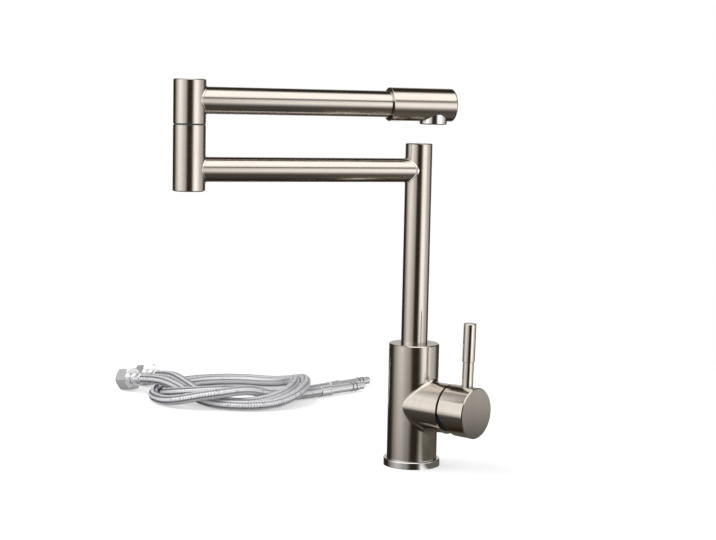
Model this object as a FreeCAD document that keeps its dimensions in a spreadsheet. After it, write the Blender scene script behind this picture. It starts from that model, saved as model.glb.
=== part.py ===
import FreeCAD, Part
import math
import os
import re

import Sketcher

# Deck mounted folding pot filler with a single side lever.
#
# The tap stands at the origin on the deck, z = 0, with +Z up.  The lever's
# cylinder points along +X.  Hot and cold supply hoses lie loose beside it.
# All sizes are in millimetres and all angles in degrees.

SIZES = {
    # Fits
    "running_play": 0.06,
    "fixed_play": 0.05,
    "loose_play": 0.3,
    # Body
    "body_radius": 23.75,
    "body_wall": 4.25,
    "edge_chamfer": 0.8,
    "boss_fillet": 4.5,
    # Base flange and its seal
    "flange_rim": 2.9,
    "flange_height": 6.7,
    "flange_seat": 1.2,
    "flange_round": 1.0,
    "seal_inset": 1.5,
    "seal_width": 3.0,
    "seal_depth": 1.6,
    # Inlet block in the foot of the body
    "block_bottom": 22.0,
    "block_height": 12.0,
    "inlet_forward": 5.0,
    "inlet_spread": 8.5,
    "inlet_thread": 4.5,
    "inlet_depth": 9.0,
    "inlet_passage": 3.0,
    "stud_back": 10.0,
    "stud_thread": 3.4,
    "stud_depth": 10.0,
    # Waterways in the body
    "inlet_port_spread": 7.0,
    "outlet_passage": 3.5,
    # Lever cylinder: its axis lies along X at handle_height
    "pocket_land": 6.65,
    "pocket_play": 0.25,
    "cartridge_floor": 15.0,
    "boss_wall": 3.1,
    "nut_step": 2.35,
    "nut_depth": 9.1,
    # Ceramic cartridge
    "cartridge_radius": 17.4,
    "plate_height": 3.0,
    "disc_inset": 1.0,
    "port_forward": 5.0,
    "inlet_port": 2.4,
    "outlet_port": 3.0,
    "port_seal_width": 1.2,
    "port_seal_height": 1.0,
    "housing_wall": 1.4,
    "housing_land": 1.95,
    "housing_neck_wall": 2.0,
    "housing_neck_height": 8.0,
    "rotor_neck": 10.95,
    "rotor_skirt_wall": 1.6,
    "rotor_proud": 0.5,
    "slider_radius": 11.5,
    "lever_tilt": 20.0,
    "pin_to_ball": 8.4,
    "carrier_height": 6.0,
    "slot_length": 12.8,
    "pivot_depth": 5.0,
    "pivot_radius": 1.45,
    # Union nut and dome
    "nut_height": 6.0,
    "nut_rim": 2.0,
    "nut_proud": 2.4,
    "nut_slots": 6,
    "dome_gap": 0.4,
    "dome_wall": 1.4,
    "dome_opening": 14.5,
    "dome_collar": 2.5,
    # Lever stem
    "ball_radius": 2.4,
    "stem_neck": 1.8,
    "stem_square": 7.9,
    "shoulder_drop": 4.0,
    "stem_in_cap": 5.5,
    # Lever cap
    "cap_overhang": 0.45,
    "cap_gap": 2.6,
    "cap_length": 27.5,
    "cap_wall": 1.65,
    "cap_web_depth": 14.7,
    "cap_relief": 26.0,
    "cap_hub": 7.5,
    "cap_hub_length": 10.0,
    "cap_chamfer": 0.7,
    # Lever
    "lever_seat_rise": 3.0,
    "lever_lean": 1.2,
    "lever_radius": 5.25,
    "lever_neck": 22.95,
    "grip_step": 0.6,
    "grip_length": 35.8,
    "grip_round": 1.2,
    "lever_stud": 2.5,
    "lever_stud_foot": 13.0,
    "grub_radius": 2.45,
    "grub_length": 8.0,
    # Riser, and the nipple that turns in the body's socket
    "socket_land": 8.05,
    "riser_radius": 12.5,
    "tube_wall": 1.5,
    "riser_sunk": 9.3,
    "riser_above_arm": 25.0,
    "cap_disc": 2.0,
    "nipple_bore": 5.5,
    "nipple_plug": 14.0,
    "ring_section": 0.95,
    "ring_rise": 3.5,
    "ring_pitch": 5.0,
    "slip_ring_rise": 3.6,
    "slip_ring_width": 2.2,
    "slip_ring_wall": 1.25,
    "screw_rise": 5.9,
    "screw_margin": 1.3,
    "screw_radius": 2.45,
    "screw_sunk": 0.95,
    # Lower arm
    "lower_azimuth": 240.45,
    "lower_reach": 219.0,
    "lower_height": 277.0,
    "lower_radius": 11.15,
    "weld_bead": 0.6,
    # Post at the elbow
    "post_radius": 14.45,
    "post_wall": 2.0,
    "post_below_arm": 19.0,
    "post_above_arm": 18.45,
    "post_cap": 2.5,
    "seam_below_arm": 20.85,
    "seam_gap": 1.5,
    "bush_length": 20.6,
    "washer_inset": 0.55,
    "holder_rise": 8.4,
    "spindle_radius": 8.0,
    "spindle_shoulder": 1.0,
    "spindle_bore": 5.0,
    "spindle_tail": 2.7,
    "spindle_ring_section": 0.75,
    "spindle_ring_rise": 4.5,
    "spindle_ring_pitch": 7.0,
    "circlip_thickness": 1.2,
    "circlip_depth": 1.15,
    "circlip_rim": 2.5,
    "circlip_gap": 5.0,
    # Upper arm
    "upper_azimuth": 60.04,
    "arm_pitch": 60.45,
    "upper_radius": 12.15,
    # Spout sleeve
    "outlet_reach": 231.9,
    "sleeve_wall": 3.25,
    "sleeve_past_outlet": 18.6,
    "sleeve_length": 63.1,
    "sleeve_socket_depth": 20.7,
    "sleeve_chamber": 7.0,
    "sleeve_round": 2.2,
    # Aerator
    "collar_bore": 9.0,
    "collar_wall": 3.7,
    "collar_proud": 2.6,
    "collar_height": 9.0,
    "collar_round": 1.2,
    "collar_neck_wall": 0.45,
    "collar_neck_height": 5.0,
    "aerator_recess": 0.4,
    "aerator_height": 9.6,
    "aerator_hole": 0.8,
    "aerator_ring_pitch": 2.9,
    "gasket_width": 2.8,
    "gasket_height": 1.2,
    # Supply hoses
    "hose_diameter": 11.5,
    "ferrule_wall": 0.65,
    "ferrule_length": 14.0,
    "tail_radius": 5.0,
    "tail_bore": 3.6,
    "hex_across_flats": 24.0,
    "hex_length": 17.0,
    "hex_gap": 3.0,
    "hex_thread": 9.3,
    "hex_relief": 0.4,
    "hex_lip": 3.0,
    "tail_flange_inset": 0.5,
    "tail_flange_height": 2.5,
    "hose_washer_height": 2.0,
    "hose_washer_bore": 4.5,
    "spigot_ferrule_wall": 0.25,
    "spigot_collar_step": 1.2,
    "spigot_collar_height": 3.0,
    "spigot_length": 69.0,
    "spigot_tip_step": 0.4,
    "spigot_groove_depth": 0.6,
    "spigot_ring": 0.5,
    "spigot_ring_back": 13.0,
    "spigot_ring_pitch": 6.0,
}

# Radii, heights and places that follow from the sizes
DERIVED = {
    # Base and body
    "cavity_radius": "body_radius - body_wall",
    "flange_radius": "body_radius + flange_rim",
    "body_foot": "flange_height - flange_seat",
    "seal_inner": "cavity_radius + seal_inset",
    "seal_outer": "seal_inner + seal_width",
    "cavity_top": "block_bottom + block_height",
    "cartridge_bore": "cartridge_radius + pocket_play",
    "nut_bore": "cartridge_bore + nut_step",
    "boss_radius": "nut_bore + boss_wall",
    "handle_height": "cavity_top + cartridge_bore + pocket_land",
    "inlet_turn_height": "handle_height + port_forward",
    "outlet_turn_height": "handle_height - port_forward",
    # Cartridge, from its floor outwards
    "plate_top": "cartridge_floor + plate_height",
    "disc_top": "plate_top + plate_height",
    "housing_cavity": "cartridge_radius - housing_wall",
    "disc_radius": "housing_cavity - disc_inset",
    "slider_foot": "disc_top + fixed_play",
    "slider_middle": "slider_foot + plate_height",
    "slider_top": "slider_middle + carrier_height",
    "slider_travel": "pin_to_ball * lever_tilt * pi / 180",
    "room_top": "slider_top + loose_play",
    "rotor_skirt_top": "room_top + rotor_skirt_wall",
    "housing_ceiling": "rotor_skirt_top + fixed_play * 2",
    "housing_neck": "rotor_neck + fixed_play + housing_neck_wall",
    "nut_floor": "housing_ceiling + housing_land",
    "housing_top": "nut_floor + housing_neck_height",
    "rotor_top": "housing_top + rotor_proud",
    "pivot_height": "housing_top - pivot_depth",
    "ball_height": "pivot_height - pin_to_ball",
    "boss_face": "nut_floor + nut_depth",
    "nut_neck": "nut_bore - nut_rim",
    "nut_top": "boss_face + nut_proud",
    # Cap and lever
    "cap_radius": "boss_radius + cap_overhang",
    "cap_bore": "cap_radius - cap_wall",
    "cap_rim": "boss_face + cap_gap",
    "cap_face": "cap_rim + cap_length",
    "cap_web": "cap_face - cap_web_depth",
    "cap_hub_foot": "cap_web - cap_hub_length",
    "dome_radius": "cap_bore - dome_gap",
    "stem_shoulder": "pivot_height - shoulder_drop",
    "stem_top": "cap_web + stem_in_cap",
    "lever_seat": "cap_web + lever_seat_rise",
    "lever_neck_end": "cap_radius + lever_neck",
    "grip_radius": "lever_radius + grip_step",
    "grip_end": "lever_neck_end + grip_length",
    # Riser, from the socket's floor upwards
    "socket_floor": "handle_height + cartridge_bore + socket_land",
    "nipple_radius": "riser_radius - loose_play",
    "groove_floor": "riser_radius - ring_section * 2",
    "lower_ring_height": "socket_floor + ring_rise",
    "upper_ring_height": "lower_ring_height + ring_pitch",
    "slip_ring_height": "upper_ring_height + slip_ring_rise",
    "slip_ring_inner": "riser_radius - slip_ring_wall",
    "screw_height": "slip_ring_height + screw_rise",
    "screw_groove": "screw_radius * 2 + 0.5",
    "screw_length": "body_radius - groove_floor - screw_sunk",
    "riser_foot": "screw_height + screw_groove / 2 + screw_margin",
    "body_top": "riser_foot + riser_sunk",
    "nipple_plug_top": "riser_foot + nipple_plug",
    "riser_top": "lower_height + riser_above_arm",
    # Elbow, from the two arms' heights
    "upper_height": "lower_height + arm_pitch",
    "post_bottom": "lower_height - post_below_arm",
    "post_top": "upper_height + post_above_arm",
    "seam_height": "upper_height - seam_below_arm",
    "bush_foot": "seam_height - bush_length",
    "washer_inner": "spindle_radius + loose_play",
    "washer_outer": "post_radius - washer_inset",
    "holder_top": "seam_height + holder_rise",
    "spindle_thread": "spindle_radius + spindle_shoulder",
    "spindle_ring_low": "bush_foot + spindle_ring_rise",
    "spindle_ring_high": "spindle_ring_low + spindle_ring_pitch",
    "circlip_height": "bush_foot - circlip_thickness - fixed_play * 2",
    "circlip_groove": "spindle_radius - circlip_depth",
    "circlip_outer": "spindle_radius + circlip_rim",
    "spindle_foot": "circlip_height - spindle_tail",
    # Spout, out from the elbow and down from the arm's axis
    "sleeve_radius": "upper_radius + sleeve_wall",
    "sleeve_end": "outlet_reach + sleeve_past_outlet",
    "sleeve_start": "sleeve_end - sleeve_length",
    "sleeve_socket": "sleeve_start + sleeve_socket_depth",
    "collar_radius": "collar_bore + collar_wall",
    "collar_bottom": "sleeve_radius + collar_proud",
    "collar_top": "collar_bottom - collar_height",
    "collar_neck": "collar_bore + collar_neck_wall",
    "collar_neck_top": "collar_top - collar_neck_height",
    "aerator_bottom": "collar_bottom - aerator_recess",
    "aerator_top": "aerator_bottom - aerator_height",
    "gasket_outer": "collar_neck - fixed_play * 3",
    "gasket_inner": "gasket_outer - gasket_width",
    # Hose ends
    "ferrule_radius": "hose_diameter / 2 + ferrule_wall",
    "tail_flange": "hex_thread - tail_flange_inset",
    "spigot_ferrule": "hose_diameter / 2 + spigot_ferrule_wall",
    "spigot_collar": "tail_radius + spigot_collar_step",
    "spigot_tip": "tail_radius - spigot_tip_step",
    "spigot_groove": "tail_radius - spigot_groove_depth",
    "spigot_ring_second": "spigot_length - spigot_ring_back",
    "spigot_ring_first": "spigot_ring_second - spigot_ring_pitch",
}

# The two hoses as they lie: knotted loosely round each other behind the tap.
# Each starts at its nut's ferrule and ends at its spigot's ferrule.
COLD_ROUTE = [
    (-441, 67, 16.6), (-419, 65.5, 19.4), (-395, 64, 19.4), (-369, 62.5, 14),
    (-345.5, 60.5, 8), (-321, 58, 6), (-297.5, 64, 6), (-278, 78.5, 6.2),
    (-265, 99, 7.4), (-260.5, 122.5, 12), (-265, 145, 17), (-277, 166, 19.2),
    (-300.5, 191.5, 19.4), (-321.5, 203.5, 15.4), (-345, 209.5, 9.6), (-369, 209, 6),
    (-394, 201, 6), (-415.5, 185.5, 6), (-431, 164.5, 6), (-439.5, 139.5, 6),
    (-439.5, 113, 6), (-431, 86.5, 6), (-419, 66.5, 6), (-403.5, 47.5, 6),
    (-382.5, 35, 6), (-360.5, 30.5, 7), (-338.5, 34, 11.6), (-320.5, 44, 16.4),
    (-305.5, 58.5, 19.2), (-293.5, 86.5, 21.2), (-290.5, 110, 14.4), (-287, 133.5, 7),
    (-284, 159.5, 6.4), (-280, 193, 6.4),
]
HOT_ROUTE = [
    (-447, 97, 16.6), (-431, 93.5, 18.8), (-412, 89.5, 20.6), (-388, 84.5, 16),
    (-364.5, 79.5, 11), (-340.5, 72, 6.6), (-318, 72, 6), (-295, 82, 6.2),
    (-279.5, 100.5, 9.2), (-273.5, 124, 14.2), (-279.5, 147.5, 19.2), (-300.5, 174, 21.4),
    (-320.5, 188.5, 15), (-343.5, 196.5, 9.4), (-367.5, 196, 6.2), (-390.5, 188, 6.2),
    (-409.5, 172.5, 6), (-422.5, 152, 6), (-427.5, 128, 6), (-424, 102, 6),
    (-412.5, 79.5, 6), (-399, 61, 6), (-377.5, 47, 11.4), (-352, 44.5, 16),
    (-325.5, 56, 19.4), (-308.5, 80.5, 20), (-304, 103.5, 16.8), (-301, 128, 9.6),
    (-298.5, 151.5, 6), (-297, 175.5, 6), (-295, 199.5, 6.4), (-293.5, 225, 6.4),
]
ARC_SHARE = 0.45

V = FreeCAD.Vector
UP = V(0, 0, 1)
ALONG_X = FreeCAD.Rotation(V(0, 1, 0), 90)
ALONG_Y = FreeCAD.Rotation(V(1, 0, 0), -90)

doc = FreeCAD.newDocument("pot_filler")
sheet = doc.addObject("Spreadsheet::Sheet", "Sizes")
workings = doc.addObject("Spreadsheet::Sheet", "Workings")
for row, (alias, given) in enumerate([*SIZES.items(), *DERIVED.items()], 1):
    sheet.set("A%d" % row, alias)
    sheet.set("B%d" % row, str(given) if alias in SIZES else "=" + given)
    sheet.setAlias("B%d" % row, alias)
doc.recompute()

nodes = {}


# ---------------------------------------------------------------- formulas

def formula(text):
    """The text with each size's name pointed at its cell in the sheet."""
    return re.sub(r"[a-z][a-z0-9_]*",
                  lambda word: "Sizes." + word.group()
                  if word.group() in SIZES or word.group() in DERIVED
                  else word.group(), text)


def value(text):
    """The number that a formula of sizes comes to."""
    workings.set("A1", "=" + formula(text))
    workings.recompute()
    return float(workings.get("A1"))


def link(obj, prop, text):
    """Bind one property of an object to a formula of sizes."""
    obj.setExpression(prop, formula(text))


# ---------------------------------------------------------------- solids

def move(obj, x="0", y="0", z="0"):
    """Place an object at a point given by formulas."""
    for letter, text in (("x", x), ("y", y), ("z", z)):
        if text != "0":
            link(obj, "Placement.Base." + letter, text)
    return obj


def rod(name, radius, low, high, x="0", y="0"):
    """An upright round bar from height low to height high."""
    obj = doc.addObject("Part::Cylinder", name)
    link(obj, "Radius", radius)
    link(obj, "Height", "(%s) - (%s)" % (high, low))
    return move(obj, x, y, low)


def rod_along(name, radius, low, high, turn, x="0", y="0", z="0"):
    """A round bar that lies along X or Y, from low to high on that axis."""
    obj = doc.addObject("Part::Cylinder", name)
    link(obj, "Radius", radius)
    link(obj, "Height", "(%s) - (%s)" % (high, low))
    obj.Placement = FreeCAD.Placement(V(), turn)
    if turn is ALONG_X:
        return move(obj, low, y, z)
    return move(obj, x, low, z)


def box(name, size_x, size_y, low, high, x="0", y="0"):
    """An upright block centred on x and y."""
    obj = doc.addObject("Part::Box", name)
    link(obj, "Length", size_x)
    link(obj, "Width", size_y)
    link(obj, "Height", "(%s) - (%s)" % (high, low))
    return move(obj, "(%s) - (%s) / 2" % (x, size_x), "(%s) - (%s) / 2" % (y, size_y), low)


def ball(name, radius, height):
    """A sphere on the axis."""
    obj = doc.addObject("Part::Sphere", name)
    link(obj, "Radius", radius)
    return move(obj, z=height)


def hoop(name, middle, section, height):
    """A round-section ring that lies level."""
    obj = doc.addObject("Part::Torus", name)
    link(obj, "Radius1", middle)
    link(obj, "Radius2", section)
    return move(obj, z=height)


def join(name, *pieces):
    """One solid of several."""
    if len(pieces) == 1:
        return pieces[0]
    obj = doc.addObject("Part::MultiFuse", name)
    obj.Shapes = list(pieces)
    return obj


def cut(name, piece, *tools):
    """A piece with the tools taken out of it."""
    obj = doc.addObject("Part::Cut", name)
    obj.Base = piece
    obj.Tool = join(name + "_tools", *tools)
    return obj


def overlap(name, piece, other):
    """What two solids share."""
    obj = doc.addObject("Part::Common", name)
    obj.Base = piece
    obj.Tool = other
    return obj


def held(name, piece):
    """A piece in a holder of its own, so that it can be placed once more."""
    obj = doc.addObject("Part::Compound", name)
    obj.Links = [piece]
    return obj


def ring(name, outer, inner, low, high, x="0", y="0"):
    """A round bar with a round hole through it."""
    hole = rod(name + "_hole", inner, "(%s) - 1" % low, "(%s) + 1" % high, x, y)
    return cut(name, rod(name + "_bar", outer, low, high, x, y), hole)


def turned(name, outline, rounds=()):
    """A turned piece: an outline of (radius, height) corners about Z.

    Each entry of rounds is (radius, height, fillet radius) for one rim.
    """
    body = doc.addObject("PartDesign::Body", name)
    plane = [item for item in body.Origin.OriginFeatures if item.Role == "XZ_Plane"][0]
    sketch = body.newObject("Sketcher::SketchObject", name + "_outline")
    sketch.AttachmentSupport = [(plane, "")]
    sketch.MapMode = "FlatFace"
    corners = [(value(radius), value(height)) for radius, height in outline]
    count = len(corners)
    for k in range(count):
        start, stop = corners[k], corners[(k + 1) % count]
        sketch.addGeometry(Part.LineSegment(V(start[0], start[1], 0),
                                            V(stop[0], stop[1], 0)), False)
    for k in range(count):
        sketch.addConstraint(Sketcher.Constraint("Coincident", k, 2, (k + 1) % count, 1))
    for k in range(count):
        for axis, kind, text, number in ((-2, "DistanceX", outline[k][0], corners[k][0]),
                                         (-1, "DistanceY", outline[k][1], corners[k][1])):
            if text == "0":
                sketch.addConstraint(Sketcher.Constraint("PointOnObject", k, 1, axis))
            else:
                index = sketch.addConstraint(
                    Sketcher.Constraint(kind, -1, 1, k, 1, number))
                link(sketch, "Constraints[%d]" % index, text)
    revolve = body.newObject("PartDesign::Revolution", name + "_turning")
    revolve.Profile = sketch
    revolve.ReferenceAxis = (sketch, ["V_Axis"])
    revolve.Angle = 360
    last = revolve
    for k, (radius, height, fillet) in enumerate(rounds):
        doc.recompute()
        edges = rims(last.Shape, value(radius), value(height))
        step = body.newObject("PartDesign::Fillet", "%s_round_%d" % (name, k))
        step.Base = (last, edges)
        link(step, "Radius", fillet)
        last = step
    body.Tip = last
    return body


def rims(shape, radius, height):
    """Names of the round edges about Z of one radius at one height."""
    found = []
    for k, edge in enumerate(shape.Edges, 1):
        curve = edge.Curve
        if (isinstance(curve, Part.Circle) and abs(curve.Radius - radius) < 0.01
                and abs(curve.Center.z - height) < 0.01):
            found.append("Edge%d" % k)
    return found


def blend(name, piece, upright, level, height, fillet):
    """Round the hollow corner where a level cylinder along X leaves an upright one."""
    doc.recompute()
    edges = []
    for k, edge in enumerate(piece.Shape.Edges, 1):
        point = edge.valueAt((edge.FirstParameter + edge.LastParameter) / 2)
        if (abs(math.hypot(point.x, point.y) - value(upright)) < 0.01
                and abs(math.hypot(point.y, point.z - value(height)) - value(level)) < 0.01
                and point.x > 0):
            edges.append((k, value(fillet), value(fillet)))
    obj = doc.addObject("Part::Fillet", name)
    obj.Base = piece
    obj.Edges = edges
    return obj


# ---------------------------------------------------------------- frames

def in_tap(obj, label):
    """A piece drawn where it stands in the tap."""
    obj.Label = label
    nodes[label] = obj


def in_handle(obj, label):
    """A piece drawn about the lever cylinder: its Z lies along +X, its X points up."""
    obj.Placement = FreeCAD.Placement(V(), FreeCAD.Rotation(V(1, 0, 1), 180))
    move(obj, z="handle_height")
    in_tap(obj, label)


def in_lower_arm(obj, label):
    """A piece drawn about the riser with its X along the lower arm."""
    obj.Placement = FreeCAD.Placement(V(), FreeCAD.Rotation(UP, 10))
    link(obj, "Placement.Rotation.Angle", "lower_azimuth")
    in_tap(obj, label)


def in_post(obj, label, azimuth):
    """A piece drawn about the elbow post with its X along one of the arms."""
    obj.Placement = FreeCAD.Placement(V(), FreeCAD.Rotation(UP, 10))
    link(obj, "Placement.Rotation.Angle", azimuth)
    move(obj, "lower_reach * cos(lower_azimuth * 1deg)",
         "lower_reach * sin(lower_azimuth * 1deg)")
    in_tap(obj, label)


def in_lower_post(obj, label):
    """A piece drawn about the elbow post that stays with the lower arm."""
    in_post(obj, label, "lower_azimuth")


def in_upper_arm(obj, label):
    """A piece drawn about the elbow post with its X along the upper arm."""
    in_post(obj, label, "upper_azimuth")


# ---------------------------------------------------------------- base and body

def base_flange():
    """Polished foot ring with a seat for the body and a groove for its seal."""
    seat = "body_radius + fixed_play"
    inner = "seal_inner - fixed_play"
    outer = "seal_outer + fixed_play"
    in_tap(turned("base_flange_solid", [
        ("cavity_radius", "0"), (inner, "0"), (inner, "seal_depth"),
        (outer, "seal_depth"), (outer, "0"), ("flange_radius", "0"),
        ("flange_radius", "flange_height"), (seat, "flange_height"),
        (seat, "body_foot"), ("cavity_radius", "body_foot"),
    ], [("flange_radius", "flange_height", "flange_round")]), "base_flange")
    in_tap(ring("base_seal_ring", "seal_outer", "seal_inner", "0", "seal_depth"),
           "base_seal")


def tap_body():
    """Body with the lever boss, the riser socket and the drilled waterways."""
    column = turned("column", [
        ("0", "body_foot"), ("body_radius", "body_foot"),
        ("body_radius", "body_top - edge_chamfer"),
        ("body_radius - edge_chamfer", "body_top"), ("0", "body_top"),
    ])
    boss = rod_along("boss", "boss_radius", "0", "boss_face", ALONG_X, z="handle_height")
    solid = blend("body_blend", join("body_solid", column, boss), "body_radius",
                  "boss_radius", "handle_height", "boss_fillet")
    tools = [
        rod("cavity", "cavity_radius", "body_foot - 1", "cavity_top"),
        rod("riser_socket", "riser_radius + running_play", "socket_floor",
            "body_top + 1"),
        rod_along("cartridge_pocket", "cartridge_bore", "cartridge_floor",
                  "boss_face + 1", ALONG_X, z="handle_height"),
        rod_along("nut_pocket", "nut_bore", "nut_floor", "boss_face + 1", ALONG_X,
                  z="handle_height"),
        rod_along("outlet_turn", "outlet_port", "-outlet_port + 1",
                  "cartridge_floor + 1", ALONG_X, z="outlet_turn_height"),
        rod("outlet_riser", "outlet_passage", "outlet_turn_height - outlet_port + 0.2",
            "socket_floor + 1"),
        rod_along("set_screw_hole", "screw_radius + fixed_play", "-body_radius - 1",
                  "-riser_radius + 1", ALONG_X, z="screw_height"),
    ]
    for side in ("", "-"):
        name = "inlet" + ("_low" if side else "_high")
        tools.append(rod(name + "_riser", "inlet_passage", "cavity_top - 1",
                         "inlet_turn_height + inlet_port + 0.3", "inlet_forward",
                         side + "inlet_spread"))
        tools.append(rod_along(name + "_turn", "inlet_port", "inlet_forward",
                               "cartridge_floor + 1", ALONG_X,
                               y=side + "inlet_port_spread", z="inlet_turn_height"))
    in_tap(cut("body_casting", solid, *tools), "body")


def inlet_block():
    """Brass block in the body's foot with the two hose threads and the stud thread."""
    solid = rod("block_bar", "cavity_radius - fixed_play", "block_bottom", "cavity_top")
    tools = [rod("block_stud", "stud_thread", "block_bottom - 1",
                 "block_bottom + stud_depth", "-stud_back")]
    for side in ("", "-"):
        name = "block" + ("_low" if side else "_high")
        tools.append(rod(name + "_thread", "inlet_thread", "block_bottom - 1",
                         "block_bottom + inlet_depth", "inlet_forward",
                         side + "inlet_spread"))
        tools.append(rod(name + "_passage", "inlet_passage", "block_bottom",
                         "cavity_top + 1", "inlet_forward", side + "inlet_spread"))
    in_tap(cut("block_drilled", solid, *tools), "inlet_block")


def body_fittings():
    """Set screw and thrust washer that keep the riser in the body's socket."""
    groove = "groove_floor + fixed_play * 4"
    screw = rod_along("set_screw_bar", "screw_radius",
                      "-(%s) - screw_length" % groove, "-(%s)" % groove, ALONG_X,
                      z="screw_height")
    key = rod_along("set_screw_key", "screw_radius / 2",
                    "-(%s) - screw_length - 1" % groove,
                    "-(%s) - screw_length + 3" % groove, ALONG_X, z="screw_height")
    in_tap(cut("set_screw", screw, key), "riser_set_screw")
    in_tap(ring("thrust_ring", "riser_radius - loose_play", "nipple_bore",
                "socket_floor", "socket_floor + 1"), "thrust_washer")


# ---------------------------------------------------------------- cartridge

PORTS = (("high", "port_forward", "inlet_port_spread", "inlet_port"),
         ("low", "port_forward", "-inlet_port_spread", "inlet_port"),
         ("out", "-port_forward", "0", "outlet_port"))


def port_tools(name, extra, low, high):
    """Three bars at the cartridge's ports, each wider than its port by extra."""
    return [rod("%s_%s" % (name, key), "%s + %s" % (radius, extra), low, high, x, y)
            for key, x, y, radius in PORTS]


def cartridge():
    """Fixed pieces of the ceramic mixing cartridge."""
    seal_top = "cartridge_floor + port_seal_height"
    base = cut("base_plate", rod("base_plate_bar", "cartridge_radius",
                                 "cartridge_floor", "plate_top"),
               *port_tools("base_port", "0", "cartridge_floor - 1",
                           "plate_top + 1"),
               *port_tools("base_groove", "port_seal_width", "cartridge_floor - 1",
                           seal_top))
    in_handle(base, "cartridge_base")
    seals = [cut("seal_" + key,
                 rod("seal_bar_" + key, radius + " + port_seal_width",
                     "cartridge_floor", seal_top, x, y),
                 rod("seal_hole_" + key, radius, "cartridge_floor - 1",
                     seal_top + " + 1", x, y))
             for key, x, y, radius in PORTS]
    in_handle(join("three_seals", *seals), "port_seals")
    in_handle(cut("fixed_plate", rod("fixed_plate_bar", "disc_radius", "plate_top",
                                     "disc_top"),
                  *port_tools("disc_port", "0", "cartridge_floor",
                              "disc_top + 1")), "fixed_disc")
    neck_bore = "rotor_neck + fixed_play"
    in_handle(turned("housing_shell", [
        ("housing_cavity", "plate_top"), ("cartridge_radius", "plate_top"),
        ("cartridge_radius", "nut_floor"), ("housing_neck", "nut_floor"),
        ("housing_neck", "housing_top"), (neck_bore, "housing_top"),
        (neck_bore, "housing_ceiling"), ("housing_cavity", "housing_ceiling"),
    ]), "cartridge_housing")


def cartridge_nut():
    """Brass nut that holds the cartridge, with spanner slots in its neck."""
    shoulder = "nut_floor + nut_height"
    blank = turned("nut_blank", [
        ("housing_neck + fixed_play * 2", "nut_floor"),
        ("nut_bore - fixed_play", "nut_floor"), ("nut_bore - fixed_play", shoulder),
        ("nut_neck", shoulder), ("nut_neck", "nut_top"),
        ("housing_neck + fixed_play * 2", "nut_top"),
    ])
    tools = []
    for k in range(SIZES["nut_slots"] // 2):
        slot = box("nut_slot_%d" % k, "nut_neck * 2.2", "slot_length / 3",
                   "nut_top - 2", "nut_top + 1")
        holder = held("nut_slot_turn_%d" % k, slot)
        holder.Placement = FreeCAD.Placement(V(), FreeCAD.Rotation(UP, k + 1))
        link(holder, "Placement.Rotation.Angle", "%d * 360 / nut_slots" % k)
        tools.append(holder)
    in_handle(cut("nut_slotted", blank, *tools), "cartridge_nut")


def cartridge_dome():
    """Dark domed cover seen through the gap below the cap."""
    shell = overlap("dome_shell", ball("dome_ball", "dome_radius", "pivot_height"),
                    rod("dome_slab", "dome_radius + 1", "boss_face",
                        "boss_face + dome_radius"))
    hollow = cut("dome_hollow", shell,
                 ball("dome_inside", "dome_radius - dome_wall", "pivot_height"),
                 rod("dome_mouth", "dome_opening", "boss_face - 1",
                     "boss_face + dome_radius + 1"))
    collar = ring("dome_collar_ring", "nut_bore", "nut_neck + fixed_play",
                  "boss_face", "boss_face + dome_collar")
    in_handle(join("dome_solid", hollow, collar), "cartridge_dome")


def mixer_rotor():
    """Rotor that turns for temperature, and the pin that the lever tilts on."""
    foot = "slider_foot"
    room = "slider_radius + fixed_play * 4"
    blank = turned("rotor_blank", [
        ("0", foot), ("housing_cavity - fixed_play * 2", foot),
        ("housing_cavity - fixed_play * 2", "rotor_skirt_top"),
        ("rotor_neck", "rotor_skirt_top"), ("rotor_neck", "rotor_top"),
        ("0", "rotor_top"),
    ])
    travel = "slider_travel + fixed_play * 3"
    tools = [
        rod("room_start", room, foot + " - 1", "room_top"),
        rod("room_end", room, foot + " - 1", "room_top", travel),
        box("room_middle", travel, "(%s) * 2" % room, foot + " - 1", "room_top",
            "(%s) / 2" % travel),
        box("stem_slot", "slot_length", "stem_square + fixed_play * 4",
            "rotor_skirt_top - 3", "rotor_top + 1"),
        rod_along("pin_hole", "pivot_radius + 0.02", "-housing_cavity",
                  "housing_cavity", ALONG_Y, z="pivot_height"),
    ]
    in_handle(cut("rotor_cut", blank, *tools), "rotor")
    pin = rod_along("pin_bar", "pivot_radius", "-rotor_neck + 0.45",
                    "rotor_neck - 0.45", ALONG_Y, z="pivot_height")
    in_handle(held("pin_in_place", pin), "pivot_pin")


def ceramic_slider():
    """Moving ceramic disc with its mixing pocket, and its plastic carrier."""
    foot = "slider_foot"
    middle = "slider_middle"
    top = "slider_top"
    pocket = join(
        "mixing_pocket",
        box("pocket_bar", "port_forward + 1", "inlet_port_spread * 2 + 3",
            foot + " - 1", foot + " + 1.6", "-1"),
        rod("pocket_outlet", "outlet_port + 1", foot + " - 1", foot + " + 1.6",
            "-port_forward"))
    in_handle(cut("moving_plate", rod("moving_bar", "slider_radius", foot, middle),
                  pocket), "moving_disc")
    in_handle(cut("carrier_plate", rod("carrier_bar", "slider_radius", middle, top),
                  rod("ball_seat", "ball_radius + 0.5", middle + " + 0.7",
                      top + " + 1")), "disc_carrier")


# ---------------------------------------------------------------- lever

def leaning(piece, height):
    """Lay a piece drawn about Z along the lever, which leans out at its top."""
    obj = held(piece.Name + "_leaning", piece)
    obj.Placement = FreeCAD.Placement(V(), FreeCAD.Rotation(V(0, 1, 0), 45))
    link(obj, "Placement.Rotation.Angle", "90 - lever_lean")
    return move(obj, z=height)


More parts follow.
